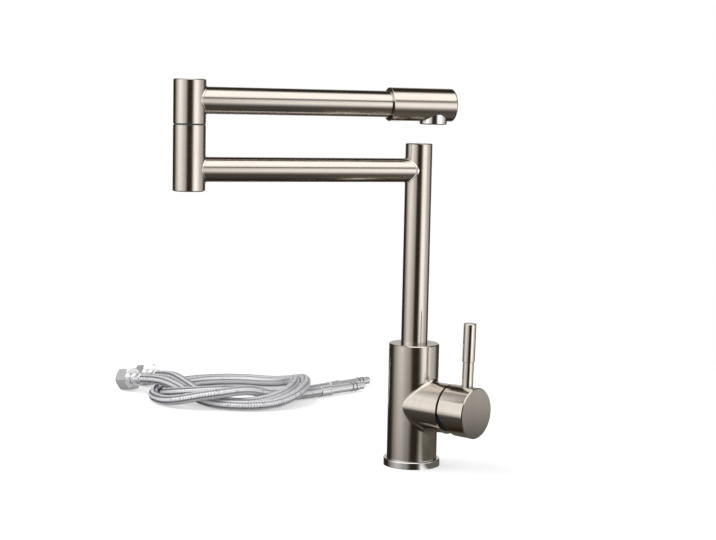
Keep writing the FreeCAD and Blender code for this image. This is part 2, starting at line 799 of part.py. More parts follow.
def lever_handle():
    """Cap over the cartridge, its stem, its grub screw and the lever."""
    stem = join("stem_solid", ball("stem_ball", "ball_radius", "ball_height"),
                rod("stem_neck_bar", "stem_neck", "ball_height", "stem_shoulder + 1"),
                box("stem_bar", "stem_square", "stem_square", "stem_shoulder",
                    "stem_top"))
    in_handle(cut("stem_drilled", stem,
                  rod_along("stem_pin_hole", "pivot_radius + fixed_play",
                            "-stem_square", "stem_square", ALONG_Y,
                            z="pivot_height")), "lever_stem")

    shell = turned("cap_shell", [
        ("0", "cap_web"), ("cap_bore", "cap_web"), ("cap_bore", "cap_rim"),
        ("cap_radius", "cap_rim"), ("cap_radius", "cap_face - cap_chamfer"),
        ("cap_radius - cap_chamfer", "cap_face"), ("0", "cap_face"),
    ])
    hub = rod("cap_hub_bar", "cap_hub", "cap_hub_foot", "cap_web + 1")
    relief = doc.addObject("Part::Box", "cap_relief_wedge")
    link(relief, "Length", "cap_radius * 1.5")
    link(relief, "Width", "cap_radius * 3")
    link(relief, "Height", "cap_radius")
    move(relief, "-cap_radius * 1.5", "-cap_radius * 1.5", "-cap_radius")
    wedge = held("cap_relief_turned", relief)
    wedge.Placement = FreeCAD.Placement(V(), FreeCAD.Rotation(V(0, 1, 0), 5))
    link(wedge, "Placement.Rotation.Angle", "cap_relief")
    move(wedge, z="cap_rim")
    socket = "stem_square + fixed_play * 2"
    rim_cut = cut("cap_rim_cut", shell, wedge)
    in_handle(cut("cap_drilled", join("cap_with_hub", rim_cut, hub),
                  box("stem_socket", socket, socket, "cap_hub_foot - 1",
                      "stem_top + 1"),
                  leaning(rod("lever_hole", "lever_stud + fixed_play",
                              "lever_stud_foot - 0.2", "cap_radius + 2"),
                          "lever_seat"),
                  rod_along("grub_hole", "grub_radius + fixed_play",
                            "-cap_radius - 1", "-stem_square / 2 + 0.5", ALONG_X,
                            z="lever_seat")), "handle_cap")

    bar = turned("lever_bar", [
        ("0", "cap_radius - 4"), ("lever_radius", "cap_radius - 4"),
        ("lever_radius", "lever_neck_end"), ("grip_radius", "lever_neck_end"),
        ("grip_radius", "grip_end"), ("0", "grip_end"),
    ], [("grip_radius", "lever_neck_end", "grip_round / 3"),
        ("grip_radius", "grip_end", "grip_round")])
    coped = cut("lever_coped", leaning(bar, "lever_seat"),
                rod("cope_tool", "cap_radius", "cap_web - 10", "cap_face + 10"))
    stud = leaning(rod("lever_stud_bar", "lever_stud", "lever_stud_foot",
                       "cap_radius + 6"), "lever_seat")
    in_handle(join("lever_solid", coped, stud), "lever_rod")
    start = "-stem_square / 2 - grub_length"
    in_handle(cut("grub_screw",
                  rod_along("grub_bar", "grub_radius", start,
                            "-stem_square / 2 - 0.05", ALONG_X, z="lever_seat"),
                  rod_along("grub_key", "grub_radius / 2", start + " - 1",
                            start + " + 2.5", ALONG_X, z="lever_seat")),
              "handle_screw")


# ---------------------------------------------------------------- riser

def riser():
    """Riser tube with the brass nipple that turns in the body's socket."""
    plug = "riser_radius - tube_wall - fixed_play"
    gap = "(ring_section + 0.15)"
    outline = [("nipple_bore", "socket_floor + 1"),
               ("nipple_radius - 0.5", "socket_floor + 1"),
               ("nipple_radius", "socket_floor + 1.5")]
    for height in ("lower_ring_height", "upper_ring_height"):
        outline += [("nipple_radius", height + " - " + gap),
                    ("groove_floor", height + " - " + gap),
                    ("groove_floor", height + " + " + gap),
                    ("nipple_radius", height + " + " + gap)]
    slip_low = "slip_ring_height - fixed_play"
    slip_high = "slip_ring_height + slip_ring_width + fixed_play"
    outline += [("nipple_radius", slip_low),
                ("slip_ring_inner - fixed_play", slip_low),
                ("slip_ring_inner - fixed_play", slip_high),
                ("nipple_radius", slip_high),
                ("nipple_radius", "screw_height - screw_groove / 2"),
                ("groove_floor", "screw_height - screw_groove / 2"),
                ("groove_floor", "screw_height + screw_groove / 2"),
                ("nipple_radius", "screw_height + screw_groove / 2"),
                ("nipple_radius", "riser_foot"), (plug, "riser_foot"),
                (plug, "nipple_plug_top"), ("nipple_bore", "nipple_plug_top")]
    in_lower_arm(turned("nipple_turning", outline), "riser_nipple")
    rings = [hoop("nipple_ring_%d" % k, "groove_floor + ring_section",
                  "ring_section", height)
             for k, height in enumerate(("lower_ring_height", "upper_ring_height"))]
    in_lower_arm(join("two_nipple_rings", *rings), "nipple_orings")
    in_lower_arm(ring("slip_bearing", "riser_radius", "slip_ring_inner",
                      "slip_ring_height", "slip_ring_height + slip_ring_width"),
                 "slip_ring")

    bore = "riser_radius - tube_wall"
    tube = turned("riser_tube_blank", [
        (bore, "riser_foot"), ("riser_radius", "riser_foot"),
        ("riser_radius", "riser_top - cap_disc"), (bore, "riser_top - cap_disc"),
    ])
    in_lower_arm(cut("riser_tube_drilled", tube,
                     rod_along("riser_side_hole", "lower_radius - tube_wall", "0",
                               "riser_radius + 1", ALONG_X, z="lower_height")),
                 "riser_tube")
    in_lower_arm(turned("riser_cap_solid", [
        ("0", "riser_top - cap_disc - 3"), (plug, "riser_top - cap_disc - 3"),
        (plug, "riser_top - cap_disc"), ("riser_radius", "riser_top - cap_disc"),
        ("riser_radius", "riser_top - edge_chamfer"),
        ("riser_radius - edge_chamfer", "riser_top"), ("0", "riser_top"),
    ]), "riser_cap")


def arm_tube(name, radius, height, start, end, ends):
    """Level tube coped over upright ones, each given by its place and radius."""
    pipe = cut(name + "_pipe",
               rod_along(name + "_bar", radius, start, end, ALONG_X, z=height),
               rod_along(name + "_bore", radius + " - tube_wall", start + " - 1",
                         end + " + 1", ALONG_X, z=height))
    tools = [rod("%s_cope_%d" % (name, k), around, height + " - 30", height + " + 30",
                 place) for k, (place, around) in enumerate(ends)]
    return cut(name + "_coped", pipe, *tools)


def bead(name, radius, height, place, around, side):
    """Weld bead where a level tube meets an upright one."""
    out = "(%s) + 25" % place if side > 0 else place
    back = place if side > 0 else "(%s) - 25" % place
    collar = cut(name + "_collar",
                 rod_along(name + "_outside", radius + " + weld_bead", back, out,
                           ALONG_X, z=height),
                 rod_along(name + "_inside", radius, back + " - 1", out + " + 1",
                           ALONG_X, z=height))
    wrap = ring(name + "_wrap", around + " + weld_bead", around, height + " - 25",
                height + " + 25", place)
    return overlap(name, collar, wrap)


def lower_arm():
    """Lower arm, welded to the riser at one end and the elbow post at the other."""
    ends = (("0", "riser_radius"), ("lower_reach", "post_radius"))
    in_lower_arm(arm_tube("lower_arm", "lower_radius", "lower_height", "0",
                          "lower_reach", ends), "lower_arm_tube")
    beads = [bead("lower_bead_%d" % k, "lower_radius", "lower_height", place, around,
                  1 - 2 * k) for k, (place, around) in enumerate(ends)]
    in_lower_arm(join("lower_beads", *beads), "lower_arm_welds")


# ---------------------------------------------------------------- elbow

def elbow_half(name, foot, top, arm_radius, arm_height, side):
    """One half of the post: a tube with a hole for its arm."""
    bore = "post_radius - post_wall"
    hole = (("0", "post_radius + 1") if side > 0 else ("-post_radius - 1", "0"))
    tube = turned(name + "_blank", [(bore, foot), ("post_radius", foot),
                                    ("post_radius", top), (bore, top)])
    return cut(name + "_drilled", tube,
               rod_along(name + "_hole", arm_radius + " - tube_wall", hole[0], hole[1],
                         ALONG_X, z=arm_height))


def lower_elbow():
    """Lower half of the post with its bush and the dark washer in the seam."""
    plug = "post_radius - post_wall - fixed_play"
    top = "seam_height - seam_gap / 2"
    in_lower_post(elbow_half("lower_post", "post_bottom + post_cap", top,
                             "lower_radius", "lower_height", -1), "lower_post_tube")
    in_lower_post(turned("lower_post_cap_solid", [
        ("0", "post_bottom"), ("post_radius - edge_chamfer", "post_bottom"),
        ("post_radius", "post_bottom + edge_chamfer"),
        ("post_radius", "post_bottom + post_cap"), (plug, "post_bottom + post_cap"),
        (plug, "post_bottom + post_cap + 2"), ("0", "post_bottom + post_cap + 2"),
    ]), "lower_post_cap")
    in_lower_post(ring("bush_ring", plug, "spindle_radius + running_play",
                       "bush_foot", top), "swivel_bush")
    in_lower_post(ring("seam_washer", "washer_outer", "washer_inner", top,
                       "seam_height + seam_gap / 2 - fixed_play"), "swivel_washer")


def spindle():
    """Hollow spindle that hangs from the upper half and turns in the bush."""
    foot = "seam_height + seam_gap / 2"
    floor = "spindle_radius + running_play - 0.01 - spindle_ring_section * 2"
    gap = "(spindle_ring_section + 0.15)"
    clip_low = "circlip_height - fixed_play / 2"
    clip_high = "circlip_height + circlip_thickness + fixed_play / 2"
    outline = [("spindle_bore", "spindle_foot"),
               ("spindle_radius - 0.5", "spindle_foot"),
               ("spindle_radius", "spindle_foot + 0.5"),
               ("spindle_radius", clip_low), ("circlip_groove", clip_low),
               ("circlip_groove", clip_high), ("spindle_radius", clip_high)]
    for height in ("spindle_ring_low", "spindle_ring_high"):
        outline += [("spindle_radius", height + " - " + gap),
                    (floor, height + " - " + gap),
                    (floor, height + " + " + gap),
                    ("spindle_radius", height + " + " + gap)]
    outline += [("spindle_radius", foot), ("spindle_thread", foot),
                ("spindle_thread", "holder_top"), ("spindle_bore", "holder_top")]
    in_upper_arm(turned("spindle_turning", outline), "spindle")
    rings = [hoop("spindle_ring_%d" % k, floor + " + spindle_ring_section",
                  "spindle_ring_section", height)
             for k, height in enumerate(("spindle_ring_low", "spindle_ring_high"))]
    in_upper_arm(join("two_spindle_rings", *rings), "spindle_orings")
    clip = ring("clip_ring", "circlip_outer", "circlip_groove + fixed_play",
                "circlip_height", "circlip_height + circlip_thickness")
    split = box("clip_split", "circlip_outer", "circlip_gap", "circlip_height - 1",
                "circlip_height + circlip_thickness + 1", "circlip_outer")
    in_upper_arm(cut("clip_open", clip, split), "spindle_circlip")
    in_upper_arm(ring("holder_ring", "post_radius - post_wall - fixed_play",
                      "spindle_thread + fixed_play", foot, "holder_top"),
                 "spindle_holder")


def upper_elbow():
    """Upper half of the post."""
    plug = "post_radius - post_wall - fixed_play"
    in_upper_arm(elbow_half("upper_post", "seam_height + seam_gap / 2",
                            "post_top - post_cap", "upper_radius", "upper_height", 1),
                 "upper_post_tube")
    in_upper_arm(turned("upper_post_cap_solid", [
        ("0", "post_top - post_cap - 2"), (plug, "post_top - post_cap - 2"),
        (plug, "post_top - post_cap"), ("post_radius", "post_top - post_cap"),
        ("post_radius", "post_top - edge_chamfer"),
        ("post_radius - edge_chamfer", "post_top"), ("0", "post_top"),
    ]), "upper_post_cap")


# ---------------------------------------------------------------- spout

def below(offset):
    """A height given as a distance below the upper arm's axis."""
    return "upper_height - (%s)" % offset


def upper_arm():
    """Upper arm tube, its weld and the sleeve at its end."""
    in_upper_arm(arm_tube("upper_arm", "upper_radius", "upper_height", "0",
                          "sleeve_socket - 1", (("0", "post_radius"),)),
                 "upper_arm_tube")
    in_upper_arm(bead("upper_bead", "upper_radius", "upper_height", "0",
                      "post_radius", 1), "upper_arm_weld")
    shell = turned("sleeve_shell", [
        ("0", "sleeve_start"), ("sleeve_radius - edge_chamfer / 2", "sleeve_start"),
        ("sleeve_radius", "sleeve_start + edge_chamfer / 2"),
        ("sleeve_radius", "sleeve_end"), ("0", "sleeve_end"),
    ], [("sleeve_radius", "sleeve_end", "sleeve_round")])
    shell.Placement = FreeCAD.Placement(V(), ALONG_X)
    move(shell, z="upper_height")
    gasket_top = "collar_neck_top - gasket_height"
    tools = [
        rod_along("sleeve_bore", "upper_radius + fixed_play", "sleeve_start - 1",
                  "sleeve_socket", ALONG_X, z="upper_height"),
        rod_along("sleeve_chamber_bore", "sleeve_chamber", "sleeve_start",
                  "outlet_reach + sleeve_chamber", ALONG_X, z="upper_height"),
        rod("collar_recess", "collar_radius + fixed_play", below("collar_bottom"),
            below("collar_top"), "outlet_reach"),
        rod("collar_thread", "collar_neck + fixed_play", below("collar_bottom"),
            below(gasket_top), "outlet_reach"),
        rod("sleeve_outlet", "sleeve_chamber - 1", below("collar_bottom"),
            "upper_height", "outlet_reach"),
    ]
    in_upper_arm(cut("sleeve_drilled", shell, *tools), "spout_sleeve")


def aerator():
    """Aerator under the sleeve: screwed collar, its insert and its gasket."""
    collar = turned("collar_turning", [
        ("collar_bore", below("collar_bottom")),
        ("collar_radius", below("collar_bottom")),
        ("collar_radius", below("collar_top")), ("collar_neck", below("collar_top")),
        ("collar_neck", below("collar_neck_top")),
        ("collar_bore", below("collar_neck_top")),
    ], [("collar_radius", below("collar_bottom"), "collar_round")])
    move(collar, "outlet_reach")
    in_upper_arm(held("collar_in_place", collar), "aerator_collar")
    insert = rod("insert_bar", "collar_bore - fixed_play", below("aerator_bottom"),
                 below("aerator_top"), "outlet_reach")
    holes = [rod("insert_hole_centre", "aerator_hole", below("aerator_bottom + 1"),
                 below("aerator_top - 1"), "outlet_reach")]
    for circle, count in ((1, 6), (2, 12)):
        for k in range(count):
            angle = "%d * 360 / %d * 1deg" % (k, count)
            pitch = "aerator_ring_pitch * %d" % circle
            holes.append(rod("insert_hole_%d_%d" % (circle, k), "aerator_hole",
                             below("aerator_bottom + 1"), below("aerator_top - 1"),
                             "outlet_reach + %s * cos(%s)" % (pitch, angle),
                             "%s * sin(%s)" % (pitch, angle)))
    in_upper_arm(cut("insert_drilled", insert, *holes), "aerator_insert")
    in_upper_arm(ring("gasket", "gasket_outer", "gasket_inner",
                      below("collar_neck_top"),
                      below("collar_neck_top - gasket_height"), "outlet_reach"),
                 "aerator_seal")


# ---------------------------------------------------------------- hoses

def route_edges(label, points):
    """Straight runs joined by tangent arcs, with the arcs' radii printed."""
    points = [V(*point) for point in points]
    edges, radii, start = [], [], points[0]
    for before, corner, after in zip(points, points[1:], points[2:]):
        arriving = (corner - before).normalize()
        leaving = (after - corner).normalize()
        turn = arriving.getAngle(leaving)
        shorter = min((corner - before).Length, (after - corner).Length)
        reach = ARC_SHARE * shorter
        radius = reach / math.tan(turn / 2)
        first = corner - arriving * reach
        last = corner + leaving * reach
        inward = (leaving - arriving).normalize()
        middle = corner + inward * (radius / math.cos(turn / 2) - radius)
        edges.append(Part.LineSegment(start, first).toShape())
        edges.append(Part.Arc(first, middle, last).toShape())
        radii.append(radius)
        start = last
    edges.append(Part.LineSegment(start, points[-1]).toShape())
    print(label, "radii", [round(radius) for radius in radii])
    return edges


def hose(label, points):
    """Braided hose as a plain round tube along its route."""
    radius = value("hose_diameter / 2")
    wire = Part.Wire(route_edges(label, points))
    heading = (V(*points[1]) - V(*points[0])).normalize()
    ring_wire = Part.Wire(Part.makeCircle(radius, V(*points[0]), heading))
    obj = doc.addObject("Part::Feature", label + "_solid")
    obj.Shape = wire.makePipeShell([ring_wire], True, False)
    print(label, "length", round(wire.Length, 1), "volume over section times length",
          round(obj.Shape.Volume / (math.pi * radius ** 2 * wire.Length), 4))
    in_tap(obj, label)


def lay(obj, label, mouth, inner):
    """Set a fitting on a hose's mouth, its Z pointing away from the hose."""
    away = (V(*mouth) - V(*inner)).normalize()
    across = away.cross(UP).normalize()
    obj.Placement = FreeCAD.Placement(
        V(*mouth), FreeCAD.Rotation(across, away.cross(across), away, "ZXY"))
    in_tap(obj, label)


def hose_nut(side, mouth, inner):
    """Union nut end: crimped ferrule, tail, swivelling hexagon nut and washer."""
    name = side + "_nut_"
    nut_foot = "ferrule_length + hex_gap"
    lip_top = nut_foot + " + hex_lip"
    nut_top = nut_foot + " + hex_length"
    ferrule = turned(name + "sleeve", [
        ("tail_radius + fixed_play", "0"), ("ferrule_radius - 0.5", "0"),
        ("ferrule_radius", "0.5"), ("ferrule_radius", "ferrule_length - 0.5"),
        ("ferrule_radius - 0.5", "ferrule_length"),
        ("tail_radius + fixed_play", "ferrule_length"),
    ])
    lay(ferrule, side + "_nut_ferrule", mouth, inner)
    flange_foot = lip_top + " + fixed_play"
    flange_top = flange_foot + " + tail_flange_height"
    relief_top = flange_top + " + hose_washer_height + loose_play"
    tail = turned(name + "tail_solid", [
        ("tail_bore", "1"), ("tail_radius", "1"), ("tail_radius", flange_foot),
        ("tail_flange", flange_foot), ("tail_flange", flange_top),
        ("tail_bore", flange_top),
    ])
    lay(tail, side + "_nut_tail", mouth, inner)
    prism = doc.addObject("Part::Prism", name + "prism")
    prism.Polygon = 6
    link(prism, "Circumradius", "hex_across_flats / sqrt(3)")
    link(prism, "Height", "hex_length")
    move(prism, z=nut_foot)
    corner = "hex_across_flats / sqrt(3) + 0.1"
    crown = "hex_across_flats / 2 + 0.3"
    blank = turned(name + "crown", [
        ("tail_radius + loose_play", nut_foot), (crown, nut_foot),
        (corner, nut_foot + " + 1.2"), (corner, nut_top + " - 1.2"),
        (crown, nut_top), ("hex_thread + 0.6", nut_top),
        ("hex_thread", nut_top + " - 0.8"), ("hex_thread", relief_top),
        ("hex_thread + hex_relief", relief_top),
        ("hex_thread + hex_relief", lip_top), ("tail_radius + loose_play", lip_top),
    ])
    lay(overlap(name + "hexagon", prism, blank), side + "_nut", mouth, inner)
    lay(ring(name + "washer_ring", "hex_thread - 0.3", "hose_washer_bore", flange_top,
             flange_top + " + hose_washer_height"), side + "_nut_washer", mouth, inner)


def hose_spigot(side, mouth, inner):
    """Thin spigot end that screws into the tap, with two sealing rings."""
    name = side + "_spigot_"
    ferrule = turned(name + "sleeve", [
        ("tail_radius + fixed_play", "0"), ("spigot_ferrule - 0.4", "0"),
        ("spigot_ferrule", "0.4"), ("spigot_ferrule", "ferrule_length - 0.4"),
        ("spigot_ferrule - 0.4", "ferrule_length"),
        ("tail_radius + fixed_play", "ferrule_length"),
    ])
    lay(ferrule, side + "_spigot_ferrule", mouth, inner)
    outline = [("tail_bore", "1"), ("tail_radius", "1"),
               ("tail_radius", "ferrule_length + 0.1"),
               ("spigot_collar", "ferrule_length + 0.1"),
               ("spigot_collar", "ferrule_length + spigot_collar_height"),
               ("tail_radius", "ferrule_length + spigot_collar_height")]
    gap = "(spigot_ring + 0.1)"
    for place in ("spigot_ring_first", "spigot_ring_second"):
        outline += [("tail_radius", place + " - " + gap),
                    ("spigot_groove", place + " - " + gap),
                    ("spigot_groove", place + " + " + gap),
                    ("tail_radius", place + " + " + gap)]
    outline += [("tail_radius", "spigot_length - 8"),
                ("spigot_tip", "spigot_length - 7"),
                ("spigot_tip", "spigot_length - 0.8"),
                ("spigot_tip - 0.6", "spigot_length"),
                ("tail_bore", "spigot_length")]
    lay(turned(name + "stem", outline), side + "_spigot", mouth, inner)
    rings = [hoop("%sring_%d" % (name, k), "spigot_groove + spigot_ring",
                  "spigot_ring", place)
             for k, place in enumerate(("spigot_ring_first", "spigot_ring_second"))]
    lay(join(name + "rings", *rings), side + "_spigot_orings", mouth, inner)


def supply_hoses():
    """Both supply hoses with the fittings on their ends."""
    for side, route in (("cold", COLD_ROUTE), ("hot", HOT_ROUTE)):
        hose(side + "_hose", route)
        hose_nut(side, route[0], route[1])
        hose_spigot(side, route[-1], route[-2])


# ---------------------------------------------------------------- the whole tap

def write_parts():
    """Check every object, then write each sub-part's STEP file."""
    doc.recompute()
    for obj in doc.Objects:
        if "Invalid" in obj.State or "Error" in obj.State:
            raise RuntimeError("%s failed: %s" % (obj.Name, obj.State))
    for label, obj in nodes.items():
        if obj.Shape.isNull() or not obj.Shape.isValid() or not obj.Shape.Solids:
            raise RuntimeError("%s has no sound solid" % label)
    os.makedirs("parts", exist_ok=True)
    for label, obj in nodes.items():
        obj.Shape.exportStep(os.path.join("parts", label + ".step"))
    print(len(nodes), "sub-parts written")


base_flange()
tap_body()
inlet_block()
body_fittings()
cartridge()
cartridge_nut()
cartridge_dome()
mixer_rotor()
ceramic_slider()
lever_handle()
riser()
lower_arm()
lower_elbow()
spindle()
upper_elbow()
upper_arm()
aerator()
supply_hoses()
write_parts()
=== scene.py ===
"""Looks of a folding pot filler: brushed nickel tubes, a side lever and two braided hoses."""

import logging
import math
from dataclasses import dataclass
from enum import Enum

import bmesh
import bpy
from mathutils import Matrix, Vector


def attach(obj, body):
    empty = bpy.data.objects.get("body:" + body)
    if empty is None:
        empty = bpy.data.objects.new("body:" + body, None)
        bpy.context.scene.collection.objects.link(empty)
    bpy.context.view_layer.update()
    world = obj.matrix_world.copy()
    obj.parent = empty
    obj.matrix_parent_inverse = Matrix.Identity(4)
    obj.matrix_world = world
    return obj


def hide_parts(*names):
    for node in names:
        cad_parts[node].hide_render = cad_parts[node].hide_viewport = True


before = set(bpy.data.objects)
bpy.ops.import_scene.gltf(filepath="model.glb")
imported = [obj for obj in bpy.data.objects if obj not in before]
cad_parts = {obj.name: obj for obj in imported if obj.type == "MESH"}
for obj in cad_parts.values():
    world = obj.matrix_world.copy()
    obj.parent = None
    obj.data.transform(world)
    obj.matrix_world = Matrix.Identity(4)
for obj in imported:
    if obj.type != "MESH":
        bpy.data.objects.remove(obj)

LOG = logging.getLogger("pot_filler")
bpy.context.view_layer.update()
MM = 0.001
DEGREES = 180.0 / math.pi


class Lay(Enum):
    """Which way a piece was brushed: its turn about Z and its stretch along X, Y and Z."""

    UPRIGHT = (0.0, (1.0, 1.0, 0.02))
    ALONG_LOWER_ARM = (-240.45, (0.02, 1.0, 1.0))
    ALONG_UPPER_ARM = (-60.04, (0.02, 1.0, 1.0))


class NodeTree:
    """Small helper that adds nodes to a tree and joins their sockets."""

    def __init__(self, tree: bpy.types.NodeTree) -> None:
        """Hold the tree.

        Args:
            tree: The node tree to build in.
        """
        self.tree = tree

    def add(self, kind: str, **settings: object) -> bpy.types.Node:
        """Add a node.

        Args:
            kind: The node's type name.
            settings: Attributes to set on it.

        Returns:
            The new node.
        """
        node = self.tree.nodes.new(kind)
        for name, value in settings.items():
            setattr(node, name, value)
        return node

    def join(self, start: bpy.types.NodeSocket, end: bpy.types.NodeSocket) -> None:
        """Link one socket to another."""
        self.tree.links.new(start, end)

    def math(self, operation: str, first: object, second: object = 0.0) -> bpy.types.NodeSocket:
        """Add a Math node.

        Args:
            operation: The node's operation.
            first: A socket or a number for the first input.
            second: A socket or a number for the second input.

        Returns:
            The node's output socket.
        """
        node = self.add("ShaderNodeMath", operation=operation)
        for socket, given in zip(node.inputs, (first, second)):
            if isinstance(given, bpy.types.NodeSocket):
                self.join(given, socket)
            else:
                socket.default_value = given
        return node.outputs[0]

    def blend(self, share: bpy.types.NodeSocket, first: object,
              second: object) -> bpy.types.NodeSocket:
        """Mix two colours or levels.

        Args:
            share: How much of the second one shows.
            first: A socket, a colour or a grey.
            second: A socket, a colour or a grey.

        Returns:
            The mixed colour's socket.
        """
        node = self.add("ShaderNodeMix", data_type="RGBA")
        self.join(share, node.inputs[0])
        for name, given in (("A", first), ("B", second)):
            socket = next(i for i in node.inputs if i.name == name and i.type == "RGBA")
            if isinstance(given, bpy.types.NodeSocket):
                self.join(given, socket)
            else:
                given = (given,) * 3 if isinstance(given, float) else given
                socket.default_value = (*given, 1.0)
        return node.outputs["Result"]

    def profile(self, fac: bpy.types.NodeSocket, stops: tuple) -> bpy.types.NodeSocket:
        """Add a grey ramp over a range of values, with straight runs between its stops.

        Args:
            fac: The socket that drives it.
            stops: Pairs of a value and the level there, in rising order.

        Returns:
            The ramp's colour socket.
        """
        low, high = stops[0][0], stops[-1][0]
        share = self.math("DIVIDE", self.math("SUBTRACT", fac, float(low)), float(high - low))
        node = self.add("ShaderNodeValToRGB")
        elements = node.color_ramp.elements
        while len(elements) < len(stops):
            elements.new(0.5)
        for element, (place, level) in zip(elements, stops):
            element.position = (place - low) / (high - low)
            element.color = (level, level, level, 1.0)
        self.join(share, node.inputs[0])
        return node.outputs[0]

    def relief(self, height: bpy.types.NodeSocket, strength: float, distance: float,
               shader: bpy.types.Node) -> None:
        """Add a Bump node to a shader.

        Args:
            height: The socket that gives the height.
            strength: The bump's strength.
            distance: The height's full depth.
            shader: The shader that gets the bump.
        """
        bump = self.add("ShaderNodeBump")
        bump.inputs["Strength"].default_value = strength
        bump.inputs["Distance"].default_value = distance
        self.join(height, bump.inputs["Height"])
        self.join(bump.outputs[0], shader.inputs["Normal"])


# ---------------------------------------------------------------- shared effects


def brushed_grain() -> bpy.types.ShaderNodeTree:
    """Build the shared group for brushed metal.

    Returns:
        A group with inputs Vector, Stretch and Line Width, and outputs Grain and Streak.
    """
    group = bpy.data.node_groups.get("brushed_grain")
    if group:
        return group
    group = bpy.data.node_groups.new("brushed_grain", "ShaderNodeTree")
    group.interface.new_socket("Vector", in_out="INPUT", socket_type="NodeSocketVector")
    group.interface.new_socket("Stretch", in_out="INPUT", socket_type="NodeSocketVector")
    width = group.interface.new_socket("Line Width", in_out="INPUT", socket_type="NodeSocketFloat")
    width.default_value = 0.0004
    group.interface.new_socket("Grain", in_out="OUTPUT", socket_type="NodeSocketFloat")
    group.interface.new_socket("Streak", in_out="OUTPUT", socket_type="NodeSocketFloat")
    nodes = NodeTree(group)
    given = nodes.add("NodeGroupInput")
    out = nodes.add("NodeGroupOutput")
    stretched = nodes.add("ShaderNodeVectorMath", operation="MULTIPLY")
    nodes.join(given.outputs["Vector"], stretched.inputs[0])
    nodes.join(given.outputs["Stretch"], stretched.inputs[1])
    fine = nodes.math("DIVIDE", 1.0, given.outputs["Line Width"])
    for name, factor, detail in (("Grain", 1.0, 3.0), ("Streak", 0.16, 2.0)):
        noise = nodes.add("ShaderNodeTexNoise")
        noise.inputs["Detail"].default_value = detail
        noise.inputs["Roughness"].default_value = 0.6
        nodes.join(stretched.outputs[0], noise.inputs["Vector"])
        nodes.join(nodes.math("MULTIPLY", fine, factor), noise.inputs["Scale"])
        nodes.join(noise.outputs[0], out.inputs[name])
    return group


def handling_marks() -> bpy.types.ShaderNodeTree:
    """Build the shared group for faint smears and fine scratches.

    Returns:
        A group with inputs Vector and Size, and output Mark.
    """
    group = bpy.data.node_groups.get("handling_marks")
    if group:
        return group
    group = bpy.data.node_groups.new("handling_marks", "ShaderNodeTree")
    group.interface.new_socket("Vector", in_out="INPUT", socket_type="NodeSocketVector")
    size = group.interface.new_socket("Size", in_out="INPUT", socket_type="NodeSocketFloat")
    size.default_value = 0.02
    group.interface.new_socket("Mark", in_out="OUTPUT", socket_type="NodeSocketFloat")
    nodes = NodeTree(group)
    given = nodes.add("NodeGroupInput")
    out = nodes.add("NodeGroupOutput")
    noise = nodes.add("ShaderNodeTexNoise")
    noise.inputs["Detail"].default_value = 5.0
    noise.inputs["Roughness"].default_value = 0.7
    nodes.join(given.outputs["Vector"], noise.inputs["Vector"])
    nodes.join(nodes.math("DIVIDE", 1.0, given.outputs["Size"]), noise.inputs["Scale"])
    mark = nodes.profile(noise.outputs[0], ((0.0, 0.0), (0.35, 0.0), (0.75, 1.0), (1.0, 1.0)))
    nodes.join(mark, out.inputs["Mark"])
    return group


# ---------------------------------------------------------------- finishes


def new_material(name: str) -> tuple[bpy.types.Material, NodeTree, bpy.types.Node]:
    """Start a material with a Principled shader.

    Args:
        name: The material's name.

    Returns:
        The material, its tree helper and the shader node.
    """
    material = bpy.data.materials.new(name)
    material.use_nodes = True
    nodes = NodeTree(material.node_tree)
    shader = next(n for n in material.node_tree.nodes if n.type == "BSDF_PRINCIPLED")
    return material, nodes, shader


def grouped(nodes: NodeTree, group: bpy.types.ShaderNodeTree, **values: object) -> bpy.types.Node:
    """Place a shared group in a material.

    Args:
        nodes: The material's tree helper.
        group: The group to place.
        values: Input values or sockets, with underscores for spaces.

    Returns:
        The group node.
    """
    node = nodes.add("ShaderNodeGroup", node_tree=group)
    for name, value in values.items():
        socket = node.inputs[name.replace("_", " ")]
        if isinstance(value, bpy.types.NodeSocket):
            nodes.join(value, socket)
        else:
            socket.default_value = value
    return node


@dataclass(frozen=True)
class BrushedMetal:
    """Metal with fine parallel brush lines."""

    name: str
    light: tuple = (0.68, 0.635, 0.59)
    dark: tuple = (0.58, 0.535, 0.49)
    smooth: float = 0.09
    rough: float = 0.21
    line_width: float = 0.00045
    relief: float = 0.000008
    relief_strength: float = 0.35
    mark_size: float = 0.03
    mark_spread: float = 0.05

    def material(self, lay: Lay) -> bpy.types.Material:
        """Build the material.

        Args:
            lay: Which way the piece was brushed.

        Returns:
            The finished material.
        """
        known = bpy.data.materials.get(f"{self.name}_{lay.name.lower()}")
        if known:
            return known
        material, nodes, shader = new_material(f"{self.name}_{lay.name.lower()}")
        turn, stretch = lay.value
        where = nodes.add("ShaderNodeTexCoord").outputs["Object"]
        mapping = nodes.add("ShaderNodeMapping")
        mapping.inputs["Rotation"].default_value = (0.0, 0.0, math.radians(turn))
        nodes.join(where, mapping.inputs["Vector"])
        grain = grouped(nodes, brushed_grain(), Vector=mapping.outputs[0], Stretch=stretch,
                        Line_Width=self.line_width)
        marks = grouped(nodes, handling_marks(), Vector=where, Size=self.mark_size)
        colour = nodes.blend(grain.outputs["Streak"], self.dark, self.light)
        nodes.join(colour, shader.inputs["Base Color"])
        shader.inputs["Metallic"].default_value = 1.0
        spread = nodes.math("MULTIPLY", grain.outputs["Grain"], self.rough - self.smooth)
        smear = nodes.math("MULTIPLY", marks.outputs["Mark"], self.mark_spread)
        total = nodes.math("ADD", nodes.math("ADD", spread, smear), self.smooth)
        nodes.join(total, shader.inputs["Roughness"])
        nodes.relief(grain.outputs["Grain"], self.relief_strength, self.relief, shader)
        return material


